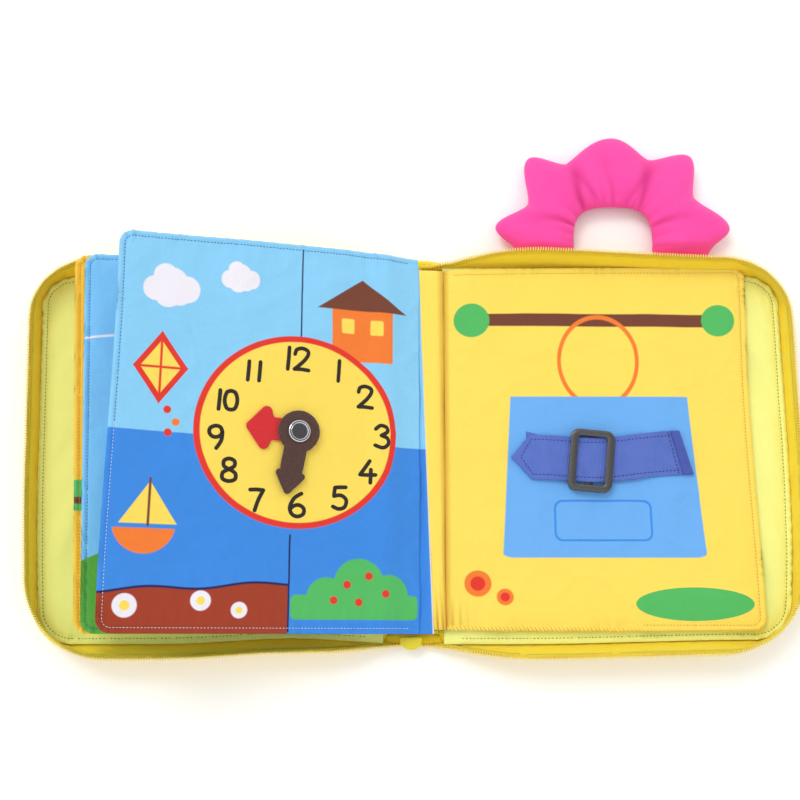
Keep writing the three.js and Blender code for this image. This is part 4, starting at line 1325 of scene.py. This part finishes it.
plating = Finish(bpy.data.materials.new("chrome"))
spots = plating.clouded(plating.node("ShaderNodeTexCoord", {}, result="Object"), 900.0, 4.0)
polished = plating.mix(spots, tint(225, 225, 228), tint(205, 205, 210))
chrome = plating.surface(polished, spots * 0.1 + 0.06, Metallic=1.0)


def rivet_part(name, node, profile):
    """A turned part of the rivet, from (radius, height) pairs."""
    turns = [2 * pi * i / 56 for i in range(56)]
    rings = [[on_dial(radius * cos(turn), radius * sin(turn), z) for turn in turns] for radius, z in profile]
    fit(tube(name, rings, [chrome]), "rivet_metal", node, body="clock_leaf")


dome = [(5.1 * cos(bend), 4.74 + 0.36 * sin(bend)) for bend in [i * pi / 20 for i in range(10)]]
cap = [(0.05, 3.62), (5.6, 3.62), (6.35, 3.75), (6.6, 4.1), (6.45, 4.5), (6.1, 4.75), (5.6, 4.88)]
rivet_part("rivet_cap_dome", "rivet_cap", cap + dome + [(0.05, 5.1)])
rivet_part("rivet_shank_post", "rivet_shank", [(0.05, -3.2), (2, -3.2), (2, 3.5), (0.05, 3.5)])
washer = [(0.05, -3.3), (4.6, -3.3), (5, -3.6), (4.8, -3.95), (3.6, -4.2), (2.2, -4.25), (0.05, -4.1)]
rivet_part("rivet_washer_disc", "rivet_washer", washer)

# Buckle leaf: yellow cloth, with a rolled twisted hem at the foot where the stitching has drawn it up. Its
# print is a blue bag on a rail, so that the real belt across it can be done up.
BUCKLE_SEAM, BUCKLE_REACH, BUCKLE_START, BUCKLE_LIFT, STRAND_PITCH = (14.0, 8.5), 190.5, 5.3, 1.0, 2.3
PAGE_YELLOW = tint(255, 226, 96)
CREASE_SHADE = tint(206, 146, 34)


def buckle_print_and_painted_shade(paint):
    x, y, under, disc, box = paint.x, paint.y, paint.under, paint.disc, paint.box
    yield PrintAndShade(paint.finish, x, y + (x - 100) * 0.01).box(22, 172, 74, 82, 3.5), BROWN
    yield paint.either(disc((22, 78.5), 11), disc((173, 77.5), 10)), LEAF_GREEN
    ring = disc((99, 52), 25, 0.85) * (1 - disc((99, 52), 22.6, 0.85))
    yield ring * under(28 - y, 0), ORANGE
    yield under(abs(x - 99) + (y + 30) * 0.06, 57.5) * box(36, 162, -68, 30, 9), tint(110, 178, 245)
    yield box(70, 128, -58, -33, 5) * (1 - box(71.2, 126.8, -56.8, -34.2, 4)), MID_BLUE
    yield disc((150, -96), 34, 3.4), LEAF_GREEN
    for fruit, radius in ((24, -84), 8), ((40, -92), 5):
        yield disc(fruit, radius), ORANGE
        yield disc(fruit, radius * 0.55), RED
    # Painted shade: darker in the valleys of the drawn folds at the foot of the gutter, and along the crease
    # where the leaf starts beside the roll.
    drawn = (x * (2 * pi / 4.4) + y * 0.02).sine() * -1 * under(x, 14, 10) * under(y, -101, 11)
    yield drawn * 0.7, CREASE_SHADE
    yield under(x, 6.9, 1.9) * 0.8, CREASE_SHADE


def buckle_rise(r):
    return (BUCKLE_LIFT + 0.7) * smooth_step(3, 17, r) - 0.7 + 0.9 * smooth_step(150, 200, r)


def buckle_gather(r, y):
    twist = sin((r + (y + 112) * 1.1) * 2 * pi / 5.0 + 1.6 * ripple(r / 17, 3, 1))
    roll = bell(y + 109.0, 1.5) * (0.3 + 0.3 * twist)
    drawn = 1.9 * exp(-max(y + 106, 0) / 15) * exp(-max(r - 5, 0) / 9) * sin(r * 2 * pi / 4.4 + 0.02 * y)
    slope = bell(r - 30 - (y + 112) * 0.02, 2.2) * exp(-max(y + 112, 0) / 30)
    slope += 0.7 * bell(r - 20 + (y - 112) * 0.18, 2.5) * exp(-max(112 - y, 0) / 45)
    waist = sin(r * 2 * pi / 27 + 0.8) * bell(y + 40, 13) * smooth_step(40, 60, r)
    return roll + drawn + slope + waist * (1 - smooth_step(150, 170, r))


def buckle_askew(r, y):
    """The fore edge runs out at the foot and a little at the head, and the foot hem has drawn up."""
    head, foot = smooth_step(40, 112, y), 1 - smooth_step(-112, 30, y)
    drawn = (1.6 + 0.9 * exp(-r / 40)) * (1 - smooth_step(-112, -40, y))
    return (max(r - 20, 0) / 170) ** 2 * (3.2 * foot + head), drawn - 2.0 * exp(-r / 45) * head


buckle_cloth = cloth("yellow page", PAGE_YELLOW, buckle_print_and_painted_shade, weave=0.45)
buckle_page, buckle_face = leaf(
    "buckle_leaf_pad", 1, BUCKLE_SEAM, 0, BUCKLE_START, BUCKLE_REACH, buckle_rise,
    [buckle_cloth, yellow_plain], 24, buckle_askew, buckle_gather,
    stitch=3.6, step=1.8, still=(92, -8, 0.8, 20),
)
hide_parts("buckle_leaf_front_cloth", "buckle_leaf_crinkle_film", "buckle_leaf_back_cloth")
tan_thread = plastic("tan thread", tint(226, 165, 50), roughness=0.7)
buckle_line = [(r, y) for r, y in leaf_edge(12, BUCKLE_REACH, LEAF_HALF, 3.6) if r > 120 or y > 0]
buckle_seam = topstitch("buckle_leaf_topstitch", tan_thread, buckle_face, buckle_line)
buckle_spot, buckle_skin, _ = buckle_face


def strand_painted_shade(paint):
    # Painted shade in the grooves between the two strands, fading out towards the fore edge.
    furrow_shade = (paint.y * 1.38 - paint.x * (2 * pi / STRAND_PITCH) - pi / 2).sine() * paint.under(paint.x, 120, 30)
    yield (furrow_shade - 0.15) * 0.7, CREASE_SHADE


def rolled_hem(start, end, step=0.46, sides=14):
    """The foot hem, rolled over and oversewn so tightly that it looks like a cord of two strands."""
    runs = [start + step * i for i in range(int((end - start) / step) + 1)]
    rings = []
    for r in runs:
        size = 1.45 * smooth_step(start - 2, start + 2, r) * (1 - 0.55 * smooth_step(118, 180, r))
        strands = 0.17 * (1 - smooth_step(95, 150, r))
        middle = sum(buckle_skin(r, 1.5 - LEAF_HALF, 0)) / 2 + 0.75
        sway = 0.3 * ripple(r / 11, 5, 2)
        ring = []
        for k in range(sides):
            angle = 2 * pi * k / sides
            reach = size * (1 + strands * cos(2 * angle - 2 * pi * r / STRAND_PITCH))
            y = 1.25 - LEAF_HALF + reach * cos(angle) + sway
            ring.append(buckle_spot(r, y, middle + reach * 0.85 * sin(angle)))
        rings.append(ring)
    # The hem's cloth carries the painted shade between its strands.
    hem_cloth = cloth("rolled hem", PAGE_YELLOW, strand_painted_shade, weave=0.45)
    return tube("buckle_leaf_rolled_hem", rings, [hem_cloth], (runs, [0.65 * k for k in range(sides + 1)]))


rolled = rolled_hem(BUCKLE_START + 0.4, 184)
for piece in (buckle_page, buckle_seam, rolled):
    fit(piece, "page_yellow")
    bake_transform(piece)


# Hem of the buckle leaf: a soft roll beside the gutter that ends in the deep crease where the leaf bends.
def roll_painted_shade(paint):
    """Painted shade on the roll where it dips to the crease and between the folds at its foot."""
    x, y, under = paint.x, paint.y, paint.under
    folds = (x * (2 * pi / 3.1) + y * 0.05).sine() * -1 * under(y, -101, 11) * under(abs(x - 14), 6)
    yield folds * 0.75, CREASE_SHADE
    yield (1 - under(x, 18.3, 1.4)) * 0.85, CREASE_SHADE


def roll_skin(x, y, inset):
    bow = sin(pi * min(max((x - 9.3) / 10.4, 0), 1) ** 0.8)
    folds = 1.7 * exp(-max(y + 108, 0) / 14) * sin(x * 2 * pi / 3.1 + 0.05 * y)
    wave = 0.7 * ripple(x / 5, y / 26, 51)
    lip = crown(min(y + 112, 112 - y), 2)
    upper = 9.3 + (1.8 * sqrt(bow) + (wave + folds) * bow) * lip - 1.1 * smooth_step(16, 19.7, x)
    return 7.4 + 0.4 * (1 - sqrt(bow)), max(upper, 8.0)


def roll_spot(x, y, z):
    near = head_share(y) * (1 - (x - 9.6) / 10.1)
    along = 2.5 * (1 - smooth_step(-112, -40, y)) - 2.0 * smooth_step(40, 112, y)
    return (x - DRAW_BACK * near, y + along, z + 1.2 * near)


roll = pad(
    "buckle_leaf_roll",
    stations(9.6, 19.7, 0.55, [0, 0.2, 0.5]),
    shares_across(-LEAF_HALF, LEAF_HALF, 1.6, [0, 0.4, 1]),
    lambda x: (-LEAF_HALF, LEAF_HALF),
    roll_skin,
    roll_spot,
    [cloth("shaded yellow roll", PAGE_YELLOW, roll_painted_shade, weave=0.45)],
)
fit(roll, "page_yellow", "buckle_leaf_hem")
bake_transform(roll)

# Belt: periwinkle webbing with a pointed end, ribbed across, sewn with navy thread along both edges. Its
# other end is sewn down on the bag under a darker strip, and it passes over the bar of the buckle.
BELT_TURN, BELT_ACROSS, BELT_FACE = radians(1.5), -8.4, 10.95
BELT_HALF, BELT_THICK, BELT_TIP, BELT_POINT, BELT_SEWN = 13.5, 1.2, 45.0, 11.5, 154.0
BELT_SLANT, BELT_SAG, BELT_MARGIN = 7.0, 3.4, 2.9
CUT = [0, 0.25, 0.6]


def belt_spot(x, y, z):
    along, across = cos(BELT_TURN), sin(BELT_TURN)
    return (14 + x * along - y * across, BELT_ACROSS + x * across + y * along, BELT_FACE + z)


def webbing(name, colour):
    finish = Finish(bpy.data.materials.new(name))
    flat, x, y = finish.on_cloth()
    ribs, cross = x.wave(1.0), y.wave(0.5)
    worn = finish.clouded(flat, 0.12, 4.0)
    shade = finish.mix((worn - 0.45) * 0.9 + ribs * -0.16 + 0.14, colour, deeper(colour, 0.66))
    height = ribs * 0.11 + cross * ribs * 0.05 + worn * 0.5
    return finish.surface(shade, worn * 0.2 + 0.62, height, Sheen_Weight=0.15, Specular_IOR_Level=0.3)


def belt_low(x):
    """Height of the strap's underside: low at its tip, up over the bar, and down to where it is sewn."""
    tip, sewn_down = 1 - smooth_step(48, 66, x), smooth_step(118, 134, x)
    return 1.9 - 1.05 * tip + 0.3 * bell(x - 92.5, 5.2) - 1.45 * sewn_down


def belt_outline(x):
    half = max(BELT_HALF * min((x - BELT_TIP) / BELT_POINT, 1), 0.9)
    return -half, half


def belt_skin(x, y, inset):
    wave = 0.22 * ripple(x / 14, y / 10, 61)
    edge = 0.25 * (1 - crown(min(inset, BELT_HALF - abs(y)), 0.5))
    low = belt_low(x) - 0.175 * (y / BELT_HALF) ** 2 + wave * 0.6
    groove = 0.16 * bell(abs(y) - 10.6, 0.55)
    return low + edge, low + BELT_THICK - edge - groove


def belt_place(x, y, z):
    slant = BELT_SLANT * (y + BELT_HALF) / (2 * BELT_HALF) * smooth_step(125, 154, x)
    return belt_spot(x - slant, y - BELT_SAG * bell(x - 98, 27), z)


def strip_heights(low, high):
    def skin(x, y, inset):
        edge = 0.25 * (1 - crown(inset, 0.5))
        return low + edge, high - edge

    return skin


belt_cloth = webbing("periwinkle webbing", tint(92, 118, 206))
strip_cloth = webbing("dark webbing", tint(74, 92, 180))
navy_thread = plastic("navy thread", tint(34, 36, 96), roughness=0.7)
across = shares_across(-BELT_HALF, BELT_HALF, 1.1, CUT)
strap = pad(
    "belt_strap_webbing",
    stations(BELT_TIP, BELT_SEWN, 1.2, CUT),
    across,
    belt_outline,
    belt_skin,
    belt_place,
    [belt_cloth],
)
seam_strip = pad(
    "belt_seam_strip_webbing",
    stations(147.6, 153.8, 0.8, CUT),
    across,
    lambda x: (-BELT_HALF + 0.2, BELT_HALF - 0.2),
    strip_heights(1.75, 2.75),
    belt_place,
    [strip_cloth],
)
under = pad(
    "belt_under_strap_webbing",
    stations(54.5, 74, 1.2, CUT),
    across,
    lambda x: (4 - BELT_HALF, BELT_HALF + 2.2 - 0.3 * (x - 54)),
    strip_heights(0.25, 0.8),
    belt_spot,
    [belt_cloth],
)
inner = BELT_HALF - BELT_MARGIN
tip_back, tip_point = BELT_TIP + BELT_POINT + 1.0, BELT_TIP + 5.6
round_tip = [(tip_back + (tip_point - tip_back) * i / 10, inner * (1 - i / 10)) for i in range(11)]
edge_places = [(x, inner) for x in np.arange(146.0, tip_back, -1.0)] + round_tip
edge_places += [(x, -y) for x, y in reversed(round_tip[:-1])]
edge_places += [(x, -inner) for x in np.arange(tip_back + 1, 146.5, 1.0)]
cross_places = [(145.2, y) for y in np.arange(-inner - 1.5, inner + 1.6, 0.8)]
sewn = [
    [(belt_place(x, y, belt_skin(x, y, 3)[1] + 0.1), UPWARD) for x, y in line]
    for line in (edge_places, cross_places)
]
belt_stitches = row("belt_stitches", sewn, navy_thread, 2.25, 1.75, 0.5, 0.34, turn=0.14, seed=5)
fit(strap, "belt_webbing", "belt_strap", body="buckle_leaf")
fit(seam_strip, "belt_webbing", "belt_seam_strip", body="buckle_leaf")
fit(under, "belt_webbing", "belt_under_strap", body="buckle_leaf")
fit(belt_stitches, "belt_webbing", body="buckle_leaf")

# Buckle: a dark moulded slide with a rounded glossy frame. The strap runs under its two long sides and over
# the bar in its middle, and the buckle can be pushed along it.
gunmetal = plastic("dark buckle plastic", tint(74, 72, 72), roughness=0.28, coat=0.35, grain=0.006)
BUCKLE_ALONG, BUCKLE_SHIFT, BUCKLE_TWIST, BUCKLE_BASE = 92.5, -3.9, radians(-7), 0.3
BUCKLE_HALF_X, BUCKLE_HALF_Y, BUCKLE_ROUND, FRAME_SIDE, FRAME_END = 13.25, 18.6, 5.0, 4.5, 3.9
BAR_ROUND, BAR_HALF, FRAME_TOP = 2.3, 0.65, 5.3
FRAME_SECTION = [(0.0, 0.14), (0.0, 0.86), (0.06, 0.95), (0.2, 1.0), (0.5, 1.02), (0.8, 1.0), (0.94, 0.95)]
FRAME_SECTION += [(1.0, 0.86), (1.0, 0.14), (0.92, 0.03), (0.5, 0.0), (0.08, 0.03)]


def slide_spot(x, y, z):
    along, across = cos(BUCKLE_TWIST), sin(BUCKLE_TWIST)
    place = BUCKLE_ALONG + x * along - y * across, x * across + y * along + BUCKLE_SHIFT
    return belt_spot(*place, BUCKLE_BASE + z)


def frame_line(half_x, half_y, radius):
    """A rounded rectangle, with points along its straight sides too."""
    line = round_box(0, 0, half_x, half_y, radius, 9)
    dense = []
    for i, (x, y) in enumerate(line):
        after = line[(i + 1) % len(line)]
        steps = 8 if (i + 1) % 10 == 0 else 1
        dense += [(x + (after[0] - x) * k / steps, y + (after[1] - y) * k / steps) for k in range(steps)]
    return dense


outer_line = frame_line(BUCKLE_HALF_X, BUCKLE_HALF_Y, BUCKLE_ROUND)
inner_line = frame_line(BUCKLE_HALF_X - FRAME_SIDE, BUCKLE_HALF_Y - FRAME_END, 1.9)
rings = []
for (ox, oy), (ix, iy) in zip(outer_line, inner_line):
    low = 3.55 * (1 - smooth_step(13.3, 15.6, abs(oy + iy) / 2))
    section = [
        (ox + (ix - ox) * inward, oy + (iy - oy) * inward, low + (FRAME_TOP - low) * up)
        for inward, up in FRAME_SECTION
    ]
    rings.append([slide_spot(*place) for place in section])
buckle_frame = tube("buckle_frame", rings, [gunmetal], joined=True)
rings = []
for y, soft in ((-16.6, 0.25), (-16, 0.0), (16, 0.0), (16.6, 0.25)):
    turns = [2 * pi * i / 16 for i in range(16)]
    rings.append(
        [slide_spot((BAR_ROUND - soft) * cos(a), y, BAR_HALF + (BAR_HALF - soft) * sin(a)) for a in turns]
    )
buckle = join("belt_buckle_slide", [buckle_frame, tube("buckle_bar", rings, [gunmetal])])
fit(buckle, "buckle_plastic", "belt_buckle", body="belt_buckle")

# Handle: a half sun of hot pink cloth, stuffed full and sewn in outside the head wall. The stuffing swells
# between the seams, and the inner arch is drawn into small radial puckers.
HANDLE_X, HANDLE_Y, HANDLE_Z = 125.3, 127.3, 8.2
INNER, FOOT_WIDTH, FILL, SQUARENESS = 24.5, 58.3, 7.4, 3.2
FOOT_Y, FOOT_Z, FOOT_FILL, LEG = 115.4, 3.4, 1.5, 12
RAYS = [(8.5, 74.4, 0.32), (49.0, 77.2, 0.34), (89.0, 70.6, 0.7), (132.5, 77.2, 0.34), (171.0, 74.4, 0.32)]
VALLEYS = [(-6, 58.3), (30.5, 60.4), (67, 61.0), (118, 60.4), (153.5, 59.2), (186, 58.3)]
CREASES = [(11, -0.12, 2.0), (23, 0.18, 3.4), (30, -0.12, 2.2), (38, 0.1, 1.4)]
CREASES += [(46, 0.16, 2.0), (55, -0.2, 3.6), (66, 0.12, 2.4)]
HANDLE_STEPS, SECTION_STEPS = 190, 16


def pink_plush():
    finish = Finish(bpy.data.materials.new("pink plush cloth"))
    place = finish.on_piece()
    mottled = finish.clouded(place, 0.05, 4.0)
    nap = finish.clouded(place, 2.2, 4.0, Roughness=0.7)
    colour = finish.mix((mottled - 0.45) * 1.2, tint(250, 78, 168), tint(240, 60, 150))
    colour = finish.mix((nap - 0.5) * 0.5, colour, tint(255, 120, 190))
    # Painted shade: darker pink in the creases and pucker valleys, from a share stored on each point of the
    # handle.
    furrow_shade = finish.node("ShaderNodeAttribute", {"attribute_name": "furrow_shade"}, result="Fac")
    colour = finish.mix(furrow_shade * 0.75, colour, tint(196, 34, 112))
    soft = {"Sheen_Weight": 0.3, "Sheen_Roughness": 0.45, "Specular_IOR_Level": 0.2}
    return finish.surface(colour, nap * 0.1 + 0.78, nap * 0.22, **soft)


def handle_outer(angle):
    """Reach of the sun's edge: five blunt rays, the top one rounder, with soft valleys between them."""
    turn = angle * 180 / pi
    ray = next(i for i in range(len(RAYS)) if turn <= VALLEYS[i + 1][0])
    (middle, tip, blunt), (edge, valley) = RAYS[ray], VALLEYS[ray] if turn < RAYS[ray][0] else VALLEYS[ray + 1]
    away = abs(turn - middle) / abs(edge - middle)
    soft = (sqrt(away**2 + blunt**2) - blunt) / (sqrt(1 + blunt**2) - blunt)
    return valley + (tip - valley) * max(1 - soft, 0) ** 1.65


def handle_inner(angle):
    across, up = abs(cos(angle)) ** SQUARENESS, abs(sin(angle)) ** SQUARENESS
    return INNER / (across + up) ** (1 / SQUARENESS)


furrows = []


def handle_section(place, inner, outer, fill, height, run):
    """A ring round the stuffing at one place of the arch, and how much painted shade darkens each of its points
    in the creases and puckers.
    """
    upper, lower, deep = [], [], []
    wander = sin(run * 2 * pi / 5.6 + 1.5 * ripple(run / 9, 0, 2))
    for k in range(SECTION_STEPS + 1):
        share = (1 - cos(pi * k / SECTION_STEPS)) / 2
        full = (max(share * (1 - share) * 4, 0)) ** 0.5
        distance = (outer - inner) * share
        pucker = wander * exp(-distance / 6.5) * full
        crease = exp(-distance / 24) * full
        spread = 1.0 + distance * 0.04
        crease *= sum(depth * bell(run - at - distance * lean, spread) for at, lean, depth in CREASES)
        swell = fill * full * (1 + 0.05 * ripple(run / 25, distance / 20, 4)) + pucker - crease
        x, y = place(inner + distance)
        upper.append((x, y, height + swell))
        deep.append(min(max(crease * 0.4 - pucker * 0.55, 0), 1))
        if 0 < k < SECTION_STEPS:
            lower.insert(0, (x, y, height - swell))
    furrows.extend(deep + deep[-2:0:-1])
    return upper + lower


def handle_leg(side, share, run):
    y = FOOT_Y + (HANDLE_Y - FOOT_Y) * share
    fill = FOOT_FILL + (FILL - FOOT_FILL) * smooth_step(-0.2, 1.0, share)
    height = FOOT_Z + (HANDLE_Z - FOOT_Z) * share
    outer = FOOT_WIDTH + (handle_outer(0) - FOOT_WIDTH) * share**2
    return handle_section(lambda radius: (HANDLE_X + side * radius, y), INNER, outer, fill, height, run)


def handle_arch(angle):
    def around(radius):
        return (HANDLE_X + radius * cos(angle), HANDLE_Y + radius * sin(angle))

    return handle_section(around, handle_inner(angle), handle_outer(angle), FILL, HANDLE_Z, INNER * angle)


leg = (0, 0.15, 0.3, 0.45, 0.6, 0.75, 0.88)
sections = [handle_leg(1, share, (share - 1) * LEG) for share in leg]
sections += [handle_arch(pi * i / HANDLE_STEPS) for i in range(HANDLE_STEPS + 1)]
sections += [handle_leg(-1, share, INNER * pi + (1 - share) * LEG) for share in reversed(leg)]
handle = tube("carry_handle_stuffed", sections, [pink_plush()])
# Each point keeps its share of painted shade for the colour of the cloth.
handle.data.attributes.new("furrow_shade", "FLOAT", "POINT").data.foreach_set("value", furrows)
fit(handle, "handle_pink", "carry_handle", body="carry_handle")

visual_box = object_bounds()
boxes = {"cad": cad_box, "visual": visual_box}
{key: [list(map(float, corner)) for corner in value] for key, value in boxes.items()}
